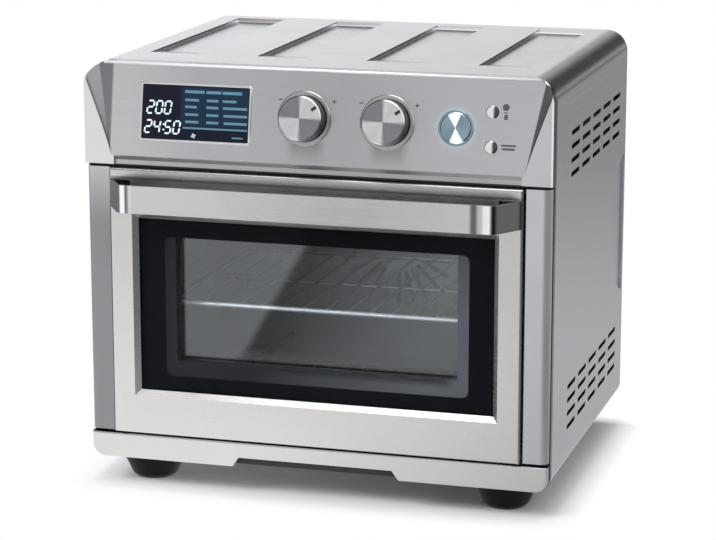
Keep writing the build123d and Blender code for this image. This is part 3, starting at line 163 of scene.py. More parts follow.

# Painted highlights and shade on the handle's bends, from left to right
HANDLE_PAINTED_GLINTS = (
    (-0.1660, 0.16), (-0.1650, 1.0), (-0.1609, 1.0), (-0.1603, 0.12), (-0.1590, 0.12), (-0.1583, 0.66),
    (-0.1552, 0.70), (-0.1543, 0.62), (0.1462, 0.62), (0.1478, 0.16), (0.1524, 0.16), (0.1532, 0.58),
    (0.1570, 0.60), (0.1580, 1.0), (0.1641, 1.0), (0.1650, 0.03), (0.1680, 0.03), (0.1687, 0.27),
    (0.1832, 0.27), (0.1842, 0.06),
)
HANDLE_HALF = 0.19

# Edges of painted light and shade on the front, each from where the shade starts to where it is full, in
# metres
SEAM_SHADE_TOP = (0.2842, 0.2828)
SEAM_SHADE_FOOT = (0.2818, 0.2806)
DOOR_PAINTED_SHADE_RISE = (0.10, 0.25)
LEFT_BEVEL = (-0.175, -0.170)
DRAWER_SEAM = (0.0470, 0.0474)
PILLAR_TOP = (0.235, 0.292)
PILLARS = (-0.19, 0.19)
# Painted light at the panel's left and painted shade in its middle
PANEL_PALER = (-0.10, -0.17)
PANEL_DARKER_X = 0.025
PANEL_DARKER = (0.10, 0.0)
RECESS_SIDES = (0.2085, 0.2075)
RECESS_FRONT = (-0.1509, -0.1506)
RECESS_WALL_ENDS = (-0.1484, -0.1500)
MARGIN_RIGHT = (-0.1862, -0.1876)
MARGIN_FOOT = (0.302, 0.304)
OUTLINE_LEFT = (0.2080, 0.2087)
LIP_TOP = (0.3014, 0.3004)
HEM_TOP = (0.2974, 0.2968)
LIP_ENDS = (0.1835, 0.1828)

# The same by how far a surface turns to the right, 0 facing ahead and 1 facing right
BEVEL_TURN = (0.2, 0.5)
RIGHT_WALL_TURN = (-0.20, -0.32)
LEFT_WALL_TURN = (0.20, 0.32)
MARGIN_TURN = (0.2, 0.1)
OUTLINE_TURN = (0.8, 0.5)
FLANK_TURN = (0.80, 0.95)

# A dial's painted shadow on the panel, a dark smear such as its reflection leaves in the brushed steel: its
# colour, its middle beside the dial's, and its edges
DIAL_PAINTED_SHADOW = (0.10, 0.09, 0.09)
SHADOW_X = 0.002
SHADOW_SIDE = (0.019, 0.010)
SHADOW_FOOT = (-0.040, -0.024)
SHADOW_TOP = (-0.016, -0.020)

# Edges of painted light and shade on the roof and its right rounding, in metres or by how far the surface
# turns
POCKET_WALL_TURN = (0.5, 0.8)
POCKET_END_TURN = (-0.5, -0.62)
ROOF_TURN = (0.8, 0.95)
ROOF_ENDS = (0.189, 0.187)
POCKET_WALLS = (0.3760, 0.3770)
SIDE_RIMS = (0.3812, 0.3816)
END_RIMS = (0.3798, 0.3804)
ROOF_DARKER = (-0.16, 0.2)
ROUNDING_X = (0.176, 0.180)
ROUNDING_Z = (0.335, 0.342)
WRAP_SEAM_Y = (-0.1350, -0.1370)
WRAP_SEAM_X = (0.203, 0.2055)

# Edges of painted light on the frame behind the glass, and of painted shade on the rack's wires: to the
# right, back from the front wire, and by how far a surface faces up
CARRIER_RIGHT = (0.115, 0.125)
CARRIER_LOW = (0.118, 0.110)
CARRIER_LOW_X = (-0.06, 0.10)
WIRES_X = (-0.03, 0.06)
WIRES_BEHIND = (0.005, 0.012)
UNDERSIDE_TURN = (0.25, -0.15)

# Painted shade on the right half of a small button, from its middle
BUTTON_DARK = (0.0004, 0.0022)

# The floor by the oven, and the darker streak on it that the door's glass mirrors
FLOOR_HALF = 14
FOOTPRINT_HALF = (0.21, 0.16)
STREAK_START = (-0.206, -0.489, 0)
STREAK_ACROSS = (0.984, -0.178, 0)

# Softboxes: power setting, place, size, and whether metal shows them
SOFTBOXES = {
    "key_softbox": ("key", (-2.4, -2.4, 3.2), (2.0, 2.0), False),
    "top_softbox": ("top", (0.1, -0.1, 2.6), (2.2, 1.3), True),
    "strip_softbox": ("fill", (1.9, -1.7, 1.9), (0.6, 1.6), True),
}
LAMP_TARGET = Vector((0, 0, 0.2))

CAMERA_PLACE = (0.6501, -2.2527, 0.7105)
CAMERA_TURN = (radians(90 - 12.84), 0, radians(16.185))
CAMERA_LENS = 130.91


# Sizes and colours that a user may change

def setting(kind, **fixed):
    """Gives a function that makes settings of one kind from a name, a description and a default."""
    return lambda name, about, default: kind(name=name, description=about, default=default, **fixed)


colour = setting(bpy.props.FloatVectorProperty, size=3, min=0, max=1, subtype="COLOR")
length = setting(bpy.props.FloatProperty, min=0, unit="LENGTH", precision=4)
share = setting(bpy.props.FloatProperty, min=0, max=1, subtype="FACTOR")
power = setting(bpy.props.FloatProperty, unit="POWER")
reading = setting(bpy.props.StringProperty)


class OVEN_PG_metal(bpy.types.PropertyGroup):
    front: colour("Front Steel", "Brushed steel of the door and drawer", (0.65, 0.642, 0.636))
    panel: colour("Panel Steel", "Brushed steel of the sloping panel", (0.54, 0.545, 0.57))
    handle: colour("Handle Steel", "Brushed steel of the handle", (0.84, 0.84, 0.865))
    # Painted shade: the front frame's colour, kept dark where it is the left pillar
    pillar: colour("Left Pillar", "Frame left of the door", (0.26, 0.262, 0.275))
    # Painted light: the frame's paler colour towards the right
    pillar_right_painted_light: colour("Right Pillar", "Frame right of the door", (0.56, 0.57, 0.60))
    # Painted shade on the door steel under the panel
    door_top_painted_shade: colour("Door Top", "Door steel in the shade of the panel", (0.34, 0.34, 0.35))
    # Painted shade on the right wall of the panel's recess
    right_wall: colour("Right Wall", "Right wall of the panel's recess", (0.25, 0.25, 0.265))
    # Painted shade on the left wall of the panel's recess
    left_wall: colour("Left Wall", "Left wall of the panel's recess", (0.33, 0.33, 0.345))
    # Painted shade on the panel's left margin
    panel_margin: colour("Panel Margin", "Left margin of the panel, in shade", (0.26, 0.26, 0.285))
    # Painted highlight on the right edge of the panel's front
    outline: colour("Panel Outline", "Right edge of the panel's front", (0.85, 0.85, 0.87))
    # Painted shade on the panel's right side in the seam
    flank: colour("Panel Flank", "Right side of the panel, in the seam", (0.022, 0.023, 0.03))
    # Painted shade on the sloping lip under the panel
    lip: colour("Panel Lip", "Sloping lip under the panel", (0.30, 0.30, 0.31))
    # Painted shade on the folded bottom edge of the panel, lighter than on the lip
    hem: colour("Panel Hem", "Folded bottom edge of the panel", (0.43, 0.43, 0.44))
    # Painted shade for folded edges inside the seams: the drawer's top, the ends of the panel's recess walls
    # and the roof's front seam
    shade: colour("Shaded Edge", "Folded edges inside the seams", (0.035, 0.035, 0.038))
    body: colour("Body Coat", "Silver coat of the roof and sides", (0.51, 0.52, 0.555))
    # Painted light on the side walls of the roof's pockets
    pocket_wall: colour("Pocket Walls", "Side walls of the roof's pockets", (0.92, 0.92, 0.96))
    # Painted shade on the far ends of the roof's pockets
    pocket_end: colour("Pocket Ends", "Sloping far ends of the roof's pockets", (0.30, 0.30, 0.32))
    # Painted shade on the top edges of the roof's pockets
    pocket_rim: colour("Pocket Rims", "Top edges of the roof's pockets", (0.21, 0.20, 0.205))
    inside: colour("Cavity Steel", "Steel inside the cavity", (0.40, 0.40, 0.41))
    grain: share("Grain", "How much the brushing shows", 0.16)
    front_roughness: share("Front Roughness", "How dull the front steel is", 0.27)


class OVEN_PG_window(bpy.types.PropertyGroup):
    mask: colour("Window Mask", "Black print round the window", (0.0022, 0.0028, 0.0050))
    # Painted light on the right and bottom of the carrier
    carrier_right: colour("Carrier Right", "Right and bottom of the carrier", (0.085, 0.089, 0.098))
    clear_half: length("Clear Half Width", "Half width of the clear window", 0.138)
    clear_low: length("Clear Bottom", "Height of the clear window's bottom edge", 0.1035)
    clear_high: length("Clear Top", "Height of the clear window's top edge", 0.2295)
    clear_corner: length("Clear Corner", "Corner radius of the clear window", 0.006)


class OVEN_PG_display(bpy.types.PropertyGroup):
    screen: colour("Screen", "Unlit screen", (0.008, 0.010, 0.020))
    glow: colour("Screen Glow", "Lit field behind the bars", (0.008, 0.030, 0.064))
    digits: colour("Digits", "Lit digits", (0.72, 0.86, 0.90))
    bars: colour("Bars", "Lit bars", (0.085, 0.205, 0.285))
    upper: reading("Upper Reading", "Digits of the upper row", "200")
    lower: reading("Lower Reading", "Digits of the lower row", "24:50")
    digit_height: length("Digit Height", "Height of a digit", 0.0108)
    # Colour of the painted glow of the start light on the panel round the start button
    ring: colour("Start Light", "Light round the start button", (0.25, 0.85, 1.0))


class OVEN_PG_stage(bpy.types.PropertyGroup):
    floor: colour("Floor", "Pale floor", (0.90, 0.90, 0.905))
    key: power("Key Light", "Power of the main softbox", 110)
    top: power("Top Light", "Power of the overhead softbox", 26)
    fill: power("Fill Light", "Power of the front softbox", 10)
    glow: share("Floor Glow", "Share of the floor near the oven that no shadow darkens", 0.12)
    glow_left: share("Left Floor Glow", "The same share at the oven's left", 0.55)
    world: share("Room Light", "Strength of the light from all round", 0.45)


# Mesh helpers

def added(name, data):
    """Adds an object to the scene."""
    made = bpy.data.objects.new(name, data)
    bpy.context.scene.collection.objects.link(made)
    return made


def meshed(name, bm, material):
    """Turns a bmesh into a mesh with a material."""
    mesh = bpy.data.meshes.new(name)
    bm.to_mesh(mesh)
    bm.free()
    mesh.materials.append(material)
    return mesh


def finished(name, bm, body, material, smooth=False):
    """Turns a bmesh into an object that rides on a body."""
    bmesh.ops.remove_doubles(bm, verts=bm.verts, dist=1e-7)
    bmesh.ops.recalc_face_normals(bm, faces=bm.faces)
    mesh = meshed(name, bm, material)
    for face in mesh.polygons:
        face.use_smooth = smooth
    piece = added(name, mesh)
    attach(piece, body)
    return piece


def bar(bm, middle, size, base=PANEL, lean=0.0):
    """Adds a thin bar that lies on a plane, its middle and size in that plane."""
    shear = Matrix.Identity(4)
    shear[0][1] = lean
    place = base @ Matrix.Translation(middle) @ shear @ Matrix.Diagonal((*size, 1))
    bmesh.ops.create_cube(bm, size=1, matrix=place)


def disc(bm, middle, radius, height, base=PANEL, sides=24):
    """Adds a short disc that stands on a plane."""
    bmesh.ops.create_cone(
        bm, cap_ends=True, segments=sides, radius1=radius, radius2=radius, depth=height,
        matrix=base @ Matrix.Translation(middle),
    )


def soft_box(middle, size, bevel):
    """Starts a mesh with a box whose edges are bevelled."""
    bm = bmesh.new()
    bmesh.ops.create_cube(bm, size=1, matrix=Matrix.Translation(middle) @ Matrix.Diagonal((*size, 1)))
    bmesh.ops.bevel(
        bm, geom=bm.edges[:], offset=bevel, affect="EDGES", segments=2, profile=0.5, material=-1
    )
    return bm


def rounded_frame(bm, half, low, high, y, radius):
    """Adds a flat rounded rectangle that faces the front."""
    place = Matrix.Translation((0, y, (low + high) / 2)) @ Matrix.Rotation(pi / 2, 4, "X")
    scale = Matrix.Diagonal((2 * half, high - low, 1, 1))
    made = bmesh.ops.create_grid(bm, x_segments=1, y_segments=1, size=0.5, matrix=place @ scale)
    bmesh.ops.bevel(
        bm, geom=made["verts"], offset=radius, affect="VERTICES", segments=6, profile=0.5, material=-1
    )


# Node helpers

def put(tree, kind, inputs=None, **settings):
    """Adds a node; each input takes a value or another node's output."""
    node = tree.nodes.new(kind)
    for name, value in settings.items():
        setattr(node, name, value)
    for key, value in (inputs or {}).items():
        if isinstance(value, bpy.types.NodeSocket):
            tree.links.new(value, node.inputs[key])
        else:
            node.inputs[key].default_value = value
    return node


def maths(tree, operation, *values, clamp=False):
    """Adds a Math node and gives its output."""
    inputs = dict(enumerate(values))
    return put(tree, "ShaderNodeMath", inputs, operation=operation, use_clamp=clamp).outputs[0]


def times(tree, first, *others):
    """Multiplies values or masks, one after the other."""
    for other in others:
        first = maths(tree, "MULTIPLY", first, other)
    return first


def off(tree, value, middle=0.0):
    """Gives how far a value lies from a middle, to either side."""
    return maths(tree, "ABSOLUTE", maths(tree, "SUBTRACT", value, middle))


def vectors(tree, operation, *values):
    """Adds a Vector Math node and gives the output that the operation fills."""
    node = put(tree, "ShaderNodeVectorMath", dict(enumerate(values)), operation=operation)
    return node.outputs[1 if operation in ("LENGTH", "DOT_PRODUCT", "DISTANCE") else 0]


def along(tree, place, centre, way):
    """Gives how far a point lies from a centre in one direction."""
    return vectors(tree, "DOT_PRODUCT", vectors(tree, "SUBTRACT", place, tuple(centre)), tuple(way))


def place_of(tree):
    """Gives the point's place on the object."""
    return put(tree, "ShaderNodeTexCoord").outputs["Object"]


def axes(tree, vector):
    """Splits a vector into its X, Y and Z."""
    return put(tree, "ShaderNodeSeparateXYZ", {0: vector}).outputs


def facing(tree):
    """Gives the X, Y and Z of the direction in which the surface faces."""
    return axes(tree, put(tree, "ShaderNodeNewGeometry").outputs["Normal"])


def ramp(tree, value, low, high, first=0.0, last=1.0):
    """Spreads a value from low and high to 0 and 1, or to the two values given last."""
    return put(tree, "ShaderNodeMapRange", {0: value, 1: low, 2: high, 3: first, 4: last}).outputs[0]


def patch(tree, *sides):
    """Gives a mask that is 1 where each value has passed its edge; an edge has a start and an end."""
    return times(tree, *(ramp(tree, value, *edge) for value, edge in sides))


def soft_ramp(tree, value, low, high):
    """Spreads a value from low and high to 0 and 1, with soft ends."""
    inputs = {0: value, 1: low, 2: high}
    return put(tree, "ShaderNodeMapRange", inputs, interpolation_type="SMOOTHSTEP").outputs[0]


def between(tree, factor, first, second):
    """Mixes two values and gives the output."""
    return put(tree, "ShaderNodeMix", {0: factor, 2: first, 3: second}).outputs[0]


def blended(tree, factor, first, second, blend="MIX"):
    """Mixes two colours and gives the output."""
    inputs = {0: factor, 6: first, 7: second}
    return put(tree, "ShaderNodeMix", inputs, data_type="RGBA", blend_type=blend).outputs[2]


def multiplied(tree, first, second):
    """Multiplies two colours and gives the output."""
    return blended(tree, 1.0, first, second, "MULTIPLY")


def washed(tree, ground, shade, mask, most=1.0):
    """Lays a colour over the ground by a mask, at most by a share."""
    if most < 1.0:
        mask = times(tree, mask, most)
    return blended(tree, mask, ground, (*shade, 1))


def layered(tree, ground, *layers):
    """Lays colours over the ground in turn; each has its mask, and a share if it stays below 1."""
    for layer in layers:
        ground = washed(tree, ground, *layer)
    return ground


def mixed(tree, factor, first, second):
    """Mixes two shaders and gives the output."""
    return put(tree, "ShaderNodeMixShader", {0: factor, 1: first, 2: second}).outputs[0]


def white_light(tree, kind, strength):
    """Adds a white emission or background and gives its output."""
    return put(tree, kind, {"Color": (*WHITE, 1), "Strength": strength}).outputs[0]


def noise(tree, vector, scale, detail, roughness=0.5, distortion=0.0):
    """Adds a cloudy pattern and gives its height."""
    inputs = {"Vector": vector, "Scale": scale, "Detail": detail, "Roughness": roughness}
    return put(tree, "ShaderNodeTexNoise", {**inputs, "Distortion": distortion}).outputs[0]


def stripes(tree, value, low, high, stops):
    """Greys along a value; each stop is a value and its tone."""
    node = put(tree, "ShaderNodeValToRGB", {0: ramp(tree, value, low, high)})
    marks = node.color_ramp.elements
    while len(marks) < len(stops):
        marks.new(0.5)
    for mark, (spot, tone) in zip(marks, stops):
        mark.position = (spot - low) / (high - low)
        mark.color = (tone, tone, tone, 1)
    return node.outputs[0]


def node_of(material, kind):
    """Finds a material's node by its kind."""
    return next(node for node in material.node_tree.nodes if node.type == kind)


def shown_with(material, shader):
    """Puts another shader on a material's output."""
    out = node_of(material, "OUTPUT_MATERIAL")
    material.node_tree.links.new(shader, out.inputs["Surface"])


def glowing(material, light, strength):
    """Makes a material shine in a colour that its nodes give."""
    shader = node_of(material, "BSDF_PRINCIPLED")
    material.node_tree.links.new(light, shader.inputs["Emission Color"])
    shader.inputs["Emission Strength"].default_value = strength


# Grains that the materials share, and the painted glint of turned faces

def group(name, inputs, outputs=("Tone", "Height")):
    """Starts a node group that reads a point, with named sockets."""
    tree = bpy.data.node_groups.new(name, "ShaderNodeTree")
    for label, value in (("Vector", (0, 0, 0)), *inputs):
        kind = "NodeSocketVector" if isinstance(value, tuple) else "NodeSocketFloat"
        socket = tree.interface.new_socket(label, in_out="INPUT", socket_type=kind)
        socket.default_value = value
    for label in outputs:
        tree.interface.new_socket(label, in_out="OUTPUT", socket_type="NodeSocketFloat")
    return tree, put(tree, "NodeGroupInput").outputs, put(tree, "NodeGroupOutput").inputs


def give_tone(tree, given, out, pattern, height):
    """Ends a grain: its tone swings about 1 by the contrast, and its height follows the pattern."""
    swing = times(tree, maths(tree, "SUBTRACT", pattern, 0.5), given["Contrast"])
    tree.links.new(maths(tree, "ADD", swing, 1.0), out["Tone"])
    tree.links.new(height, out["Height"])
    return tree


def brushed_grain():
    """Long fine scratches with broader bands between them."""
    tree, given, out = group(
        "Brushed Grain", (("Stretch", (0.02, 1, 1)), ("Scale", 2200.0), ("Contrast", 0.2))
    )
    stretched = vectors(tree, "MULTIPLY", given["Vector"], given["Stretch"])
    fine = noise(tree, stretched, given["Scale"], 3, 0.65)
    wide = noise(tree, stretched, times(tree, given["Scale"], 0.14), 2)
    both = maths(tree, "ADD", times(tree, fine, 0.6), times(tree, wide, 0.4))
    return give_tone(tree, given, out, both, both)


def turned_grain():
    """Fine rings round an axis, as a lathe leaves them."""
    tree, given, out = group(
        "Turned Grain", (("Centre", (0, 0, 0)), ("Axis", (0, 0, 1)), ("Scale", 3000.0), ("Contrast", 0.2))
    )
    arm = vectors(tree, "SUBTRACT", given["Vector"], given["Centre"])
    rise = vectors(tree, "DOT_PRODUCT", arm, given["Axis"])
    upright = put(tree, "ShaderNodeVectorMath", {0: given["Axis"], "Scale": rise}, operation="SCALE")
    radius = vectors(tree, "LENGTH", vectors(tree, "SUBTRACT", arm, upright.outputs[0]))
    spot = put(tree, "ShaderNodeCombineXYZ", {0: radius, 1: rise}).outputs[0]
    rings = noise(tree, spot, given["Scale"], 2, 0.6)
    return give_tone(tree, given, out, rings, rings)


def turned_painted_glint():
    """Painted highlight and shade in opposite sectors on a turned face, split four ways or as a bow."""
    tree, given, out = group(
        "Turned Glint",
        (("Centre", (0, 0, 0)), ("Right", (1, 0, 0)), ("Up", (0, 0, 1)), ("Softness", 0.3)),
        ("Quarters", "Bow"),
    )
    arm = vectors(tree, "SUBTRACT", given["Vector"], given["Centre"])
    across = vectors(tree, "DOT_PRODUCT", arm, given["Right"])
    rise = vectors(tree, "DOT_PRODUCT", arm, given["Up"])
    angle = maths(tree, "ARCTAN2", rise, across)
    turn = maths(tree, "SINE", times(tree, angle, 2.0))
    lean = maths(tree, "COSINE", times(tree, maths(tree, "SUBTRACT", angle, 0.1), 2.0))
    quarters = soft_ramp(tree, turn, times(tree, given["Softness"], -1.0), given["Softness"])
    tree.links.new(quarters, out["Quarters"])
    tree.links.new(soft_ramp(tree, lean, -0.45, -0.75), out["Bow"])
    return tree


def fine_grain():
    """Even speckle of a moulded, coated or cast surface."""
    tree, given, out = group("Fine Grain", (("Scale", 1500.0), ("Contrast", 0.1)))
    speckle = noise(tree, given["Vector"], given["Scale"], 4, 0.6)
    return give_tone(tree, given, out, speckle, speckle)


def handling_marks():
    """Faint cloudy marks that hands and cloths leave."""
    tree, given, out = group("Handling Marks", (("Scale", 14.0), ("Amount", 0.5)), ("Mask",))
    cloud = noise(tree, given["Vector"], given["Scale"], 5, 0.55, 0.6)
    tree.links.new(times(tree, ramp(tree, cloud, 0.45, 0.72), given["Amount"]), out["Mask"])
    return tree


def spangle():
    """Crystal patches of a zinc coat."""
    tree, given, out = group("Zinc Spangle", (("Scale", 120.0), ("Contrast", 0.3)))
    cells = put(tree, "ShaderNodeTexVoronoi", {"Vector": given["Vector"], "Scale": given["Scale"]})
    grey = put(tree, "ShaderNodeSeparateColor", {0: cells.outputs["Color"]}).outputs[0]
    return give_tone(tree, given, out, grey, cells.outputs["Distance"])


# The groups of the grains and of the painted glint by name, made with the first material
GRAINS = {}


def grain(tree, name, vector, **values):
    """Adds one of the shared groups to a material."""
    if not GRAINS:
        for start in (brushed_grain, turned_grain, turned_painted_glint, fine_grain, handling_marks, spangle):
            made = start()
            GRAINS[made.name] = made
    node = put(tree, "ShaderNodeGroup", node_tree=GRAINS[name])
    tree.links.new(vector, node.inputs["Vector"])
    for key, value in values.items():
        node.inputs[key].default_value = value
    return node


# Materials

SMEAR_DULLNESS = 0.18
RELIEF_DEPTH = 0.0002


def surface(
    name, base, metallic, roughness, pattern="Fine Grain", bump=0.1, marks=0.3, swing=0.25, specular=0.5,
    tint=None, **values,
):
    """A material whose tone, dullness and relief follow one of the shared grains, with painted light and
    shade laid on its colour by a tint.
    """
    made = bpy.data.materials.new(name)
    made.use_nodes = True
    tree = made.node_tree
    tree.nodes.clear()
    place = place_of(tree)
    texture = grain(tree, pattern, place, **values).outputs
    smear = grain(tree, "Handling Marks", place, Amount=marks).outputs["Mask"]
    ground = tint(tree, place, (*base, 1)) if tint else (*base, 1)
    dull = times(tree, maths(tree, "SUBTRACT", texture["Height"], 0.5), swing)
    uneven = maths(tree, "ADD", dull, times(tree, smear, SMEAR_DULLNESS))
    relief = {"Strength": bump, "Distance": RELIEF_DEPTH, "Height": texture["Height"]}
    shader = put(tree, "ShaderNodeBsdfPrincipled", {
        "Base Color": multiplied(tree, ground, texture["Tone"]),
        "Metallic": metallic,
        "Roughness": maths(tree, "ADD", uneven, roughness, clamp=True),
        "Specular IOR Level": specular,
        "Normal": put(tree, "ShaderNodeBump", relief).outputs[0],
    })
    put(tree, "ShaderNodeOutputMaterial", {"Surface": shader.outputs[0]})
    return made


def finish(name, base, metallic, roughness, *nodes, **values):
    """Makes a material and dresses CAD nodes in it."""
    dress(surface(name, base, metallic, roughness, **values), *nodes)


def metals():
    """The metals' settings."""
    return bpy.context.scene.oven_metal


def brushed(name, base, roughness, stretch, tint):
    """Steel with scratches that run the way it is stretched."""
    return surface(
        name, base, 1.0, roughness, "Brushed Grain", bump=0.10, tint=tint,
        Stretch=stretch, Scale=2400.0, Contrast=metals().grain,
    )


def spun_metal(name, base, roughness, centre, shaded, sectors="Quarters", side=None, rim=1.0):
    """Turned metal with painted sectors of highlight and shade; below its rim it has the colour of its side,
    a painted shade on the dials.
    """

    def two_parts(tree, place, ground):
        glint = grain(tree, "Turned Glint", place, Centre=centre, Right=RIGHT, Up=UP)
        face = blended(tree, glint.outputs[sectors], (*shaded, 1), ground)
        if not side:
            return face
        return washed(tree, face, side, ramp(tree, along(tree, place, centre, OUT), rim, rim - 0.0004))

    made = surface(
        name, base, 1.0, roughness, "Turned Grain", bump=0.04, marks=0.1, tint=two_parts,
        Centre=centre, Axis=OUT, Scale=2600.0, Contrast=0.22,
    )
    tree, shader = made.node_tree, node_of(made, "BSDF_PRINCIPLED")
    arm = vectors(tree, "SUBTRACT", place_of(tree), tuple(centre))
    round_axis = vectors(tree, "CROSS_PRODUCT", tuple(OUT), arm)
    turned_with = put(
        tree, "ShaderNodeVectorTransform", {0: round_axis},
        vector_type="VECTOR", convert_from="OBJECT", convert_to="WORLD",
    )
    tree.links.new(turned_with.outputs[0], shader.inputs["Tangent"])
    shader.inputs["Anisotropic"].default_value = 0.85
    return made


def clear(name, tint, ior):
    """Glass that lets the lamps through, with faint smears on it."""
    made = surface(name, tint, 0.0, 0.0, bump=0.0, marks=0.04, swing=0.01, Scale=300.0, Contrast=0.02)
    tree, shader = made.node_tree, node_of(made, "BSDF_PRINCIPLED")
    shader.inputs["Transmission Weight"].default_value = 1.0
    shader.inputs["IOR"].default_value = ior
    shadow = put(tree, "ShaderNodeLightPath").outputs["Is Shadow Ray"]
    thin = put(tree, "ShaderNodeBsdfTransparent", {"Color": (*tint, 1)})
    shown_with(made, mixed(tree, shadow, shader.outputs[0], thin.outputs[0]))
    return made


def lit(name, shade, strength, speckle=0.12):
    """A lit mark, a little uneven as light through a print is."""
    unlit = tuple(0.3 * part for part in shade)
    made = surface(name, unlit, 0.0, 0.35, bump=0.0, marks=0.0, Contrast=0.1)
    tree = made.node_tree
    uneven = grain(tree, "Fine Grain", place_of(tree), Scale=700.0, Contrast=speckle)
    glowing(made, multiplied(tree, (*shade, 1), uneven.outputs["Tone"]), strength)
    return made


def dress(material, *names):
    """Gives a material to CAD nodes as they are."""
    for name in names:
        slots = NODES[name].data.materials
        slots.clear()
        slots.append(material)


# Painted light and shade that a finish takes on from its place and from the way it faces

def door_painted_shade(tree, place, ground):
    """Painted shade: dark in the seam under the panel, darker upwards, darker on the window's left bevel."""
    x, _, z = axes(tree, place)
    seam = washed(tree, ground, metals().door_top_painted_shade, ramp(tree, z, *SEAM_SHADE_TOP))
    below = blended(tree, ramp(tree, z, *SEAM_SHADE_FOOT), seam, ground)
    bevel = patch(tree, (facing(tree)["X"], BEVEL_TURN), (x, LEFT_BEVEL))
    return layered(tree, below, (BLACK, ramp(tree, z, *DOOR_PAINTED_SHADE_RISE), 0.16), (BLACK, bevel, 0.42))


def handle_painted_highlights(tree, place, ground):
    """Painted highlights and shade in stripes on the bends at the handle's ends."""
    x = axes(tree, place)["X"]
    return multiplied(tree, ground, stripes(tree, x, -HANDLE_HALF, HANDLE_HALF, HANDLE_PAINTED_GLINTS))


def drawer_painted_shade(tree, place, ground):
    """Painted shade along the seam at the strip's top."""
    return washed(tree, ground, metals().shade, ramp(tree, axes(tree, place)["Z"], *DRAWER_SEAM))


def pillar_painted_light(tree, place, ground):
    """Painted light and shade: dark at the left, paler to the right, and paler towards the top of the left
    pillar.
    """
    x, _, z = axes(tree, place)
    near_top = maths(tree, "POWER", ramp(tree, z, *PILLAR_TOP), 1.5)
    left = washed(tree, ground, (0.50, 0.50, 0.52), near_top)
    return washed(tree, left, metals().pillar_right_painted_light, ramp(tree, x, *PILLARS))


def panel_painted_light(tree, place, ground):
    """Painted light and shade on the panel: its face, recess walls and margin, right edge, flank, dials'
    shadows and lip.
    """
    metal = metals()
    x, y, z = axes(tree, place)
    turn = facing(tree)["X"]
    inside = patch(tree, (off(tree, x), RECESS_SIDES), (y, RECESS_FRONT))
    right_wall = times(tree, inside, ramp(tree, turn, *RIGHT_WALL_TURN))
    left_wall = times(tree, inside, ramp(tree, turn, *LEFT_WALL_TURN))
    walls = maths(tree, "MAXIMUM", right_wall, left_wall)
    level = ramp(tree, off(tree, turn), *MARGIN_TURN)
    margin = times(tree, inside, ramp(tree, x, *MARGIN_RIGHT), level, ramp(tree, z, *MARGIN_FOOT))
    rise = along(tree, place, PANEL_CENTRE, UP)
    under = patch(tree, (rise, SHADOW_FOOT), (rise, SHADOW_TOP))
    shadows = [
        times(tree, ramp(tree, off(tree, x, knob_x + SHADOW_X), *SHADOW_SIDE), under)
        for knob_x in KNOB_X.values()
    ]
    face = layered(
        tree, ground,
        (WHITE, ramp(tree, x, *PANEL_PALER), 0.26),
        (BLACK, ramp(tree, off(tree, x, PANEL_DARKER_X), *PANEL_DARKER), 0.12),
        (metal.right_wall, right_wall),
        (metal.left_wall, left_wall),
        (metal.panel_margin, margin),
        (metal.shade, times(tree, walls, ramp(tree, y, *RECESS_WALL_ENDS)), 0.6),
        (metal.outline, patch(tree, (x, OUTLINE_LEFT), (turn, OUTLINE_TURN))),
        (metal.flank, ramp(tree, turn, *FLANK_TURN)),
        *((DIAL_PAINTED_SHADOW, shadow, 0.40) for shadow in shadows),
    )
    foot = layered(tree, face, (metal.lip, ramp(tree, z, *LIP_TOP)), (metal.hem, ramp(tree, z, *HEM_TOP)))
    return blended(tree, ramp(tree, off(tree, x), *LIP_ENDS), face, foot)


def roof_painted_light(tree, place, ground):
    """Painted light and shade on the roof: darker to the right, its pressed pockets, bands on its rounded
    right edge, its front seam.
    """
    metal = metals()
    x, y, z = axes(tree, place)
    turn_x, turn_y, turn_z = facing(tree)
    within = ramp(tree, off(tree, x), *ROOF_ENDS)
    side_walls = times(tree, within, ramp(tree, off(tree, turn_x), *POCKET_WALL_TURN))
    far_ends = times(tree, within, ramp(tree, turn_y, *POCKET_END_TURN))
    side_rims = times(tree, side_walls, ramp(tree, z, *SIDE_RIMS))
    end_rims = times(tree, far_ends, ramp(tree, z, *END_RIMS))
    roof = layered(
        tree, ground,
        (BLACK, patch(tree, (x, ROOF_DARKER), (turn_z, ROOF_TURN)), 0.36),
        (metal.pocket_wall, times(tree, side_walls, ramp(tree, z, *POCKET_WALLS))),
        (metal.pocket_end, far_ends),
        (metal.pocket_rim, maths(tree, "MAXIMUM", side_rims, end_rims)),
    )
    streaks = grain(tree, "Brushed Grain", place, Stretch=(1, 0.015, 1), Scale=700.0, Contrast=0.9)
    painted_bands = multiplied(tree, stripes(tree, turn_x, 0.0, 1.0, ROOF_PAINTED_BANDS), streaks.outputs["Tone"])
    rounding = patch(tree, (x, ROUNDING_X), (z, ROUNDING_Z))
    with_painted_bands = blended(tree, rounding, roof, multiplied(tree, roof, painted_bands))
    seam = patch(tree, (y, WRAP_SEAM_Y), (x, WRAP_SEAM_X))
    return washed(tree, with_painted_bands, metal.shade, seam, most=0.92)


def rack_painted_shade(tree, place, ground):
    """Painted shade: wires behind the front one darken towards the left, and undersides are dark; the front
    wire keeps its colour.
    """
    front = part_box("wire_rack")[0].y
    start, full = WIRES_BEHIND
    x, y, _ = axes(tree, place)
    fading = ramp(tree, x, *WIRES_X, 0.76, 0.10)
    behind = times(tree, ramp(tree, y, front + start, front + full), fading)
    under = times(tree, ramp(tree, facing(tree)["Z"], *UNDERSIDE_TURN), 0.85)
    return washed(tree, ground, (0.10, 0.10, 0.11), maths(tree, "MAXIMUM", behind, under))


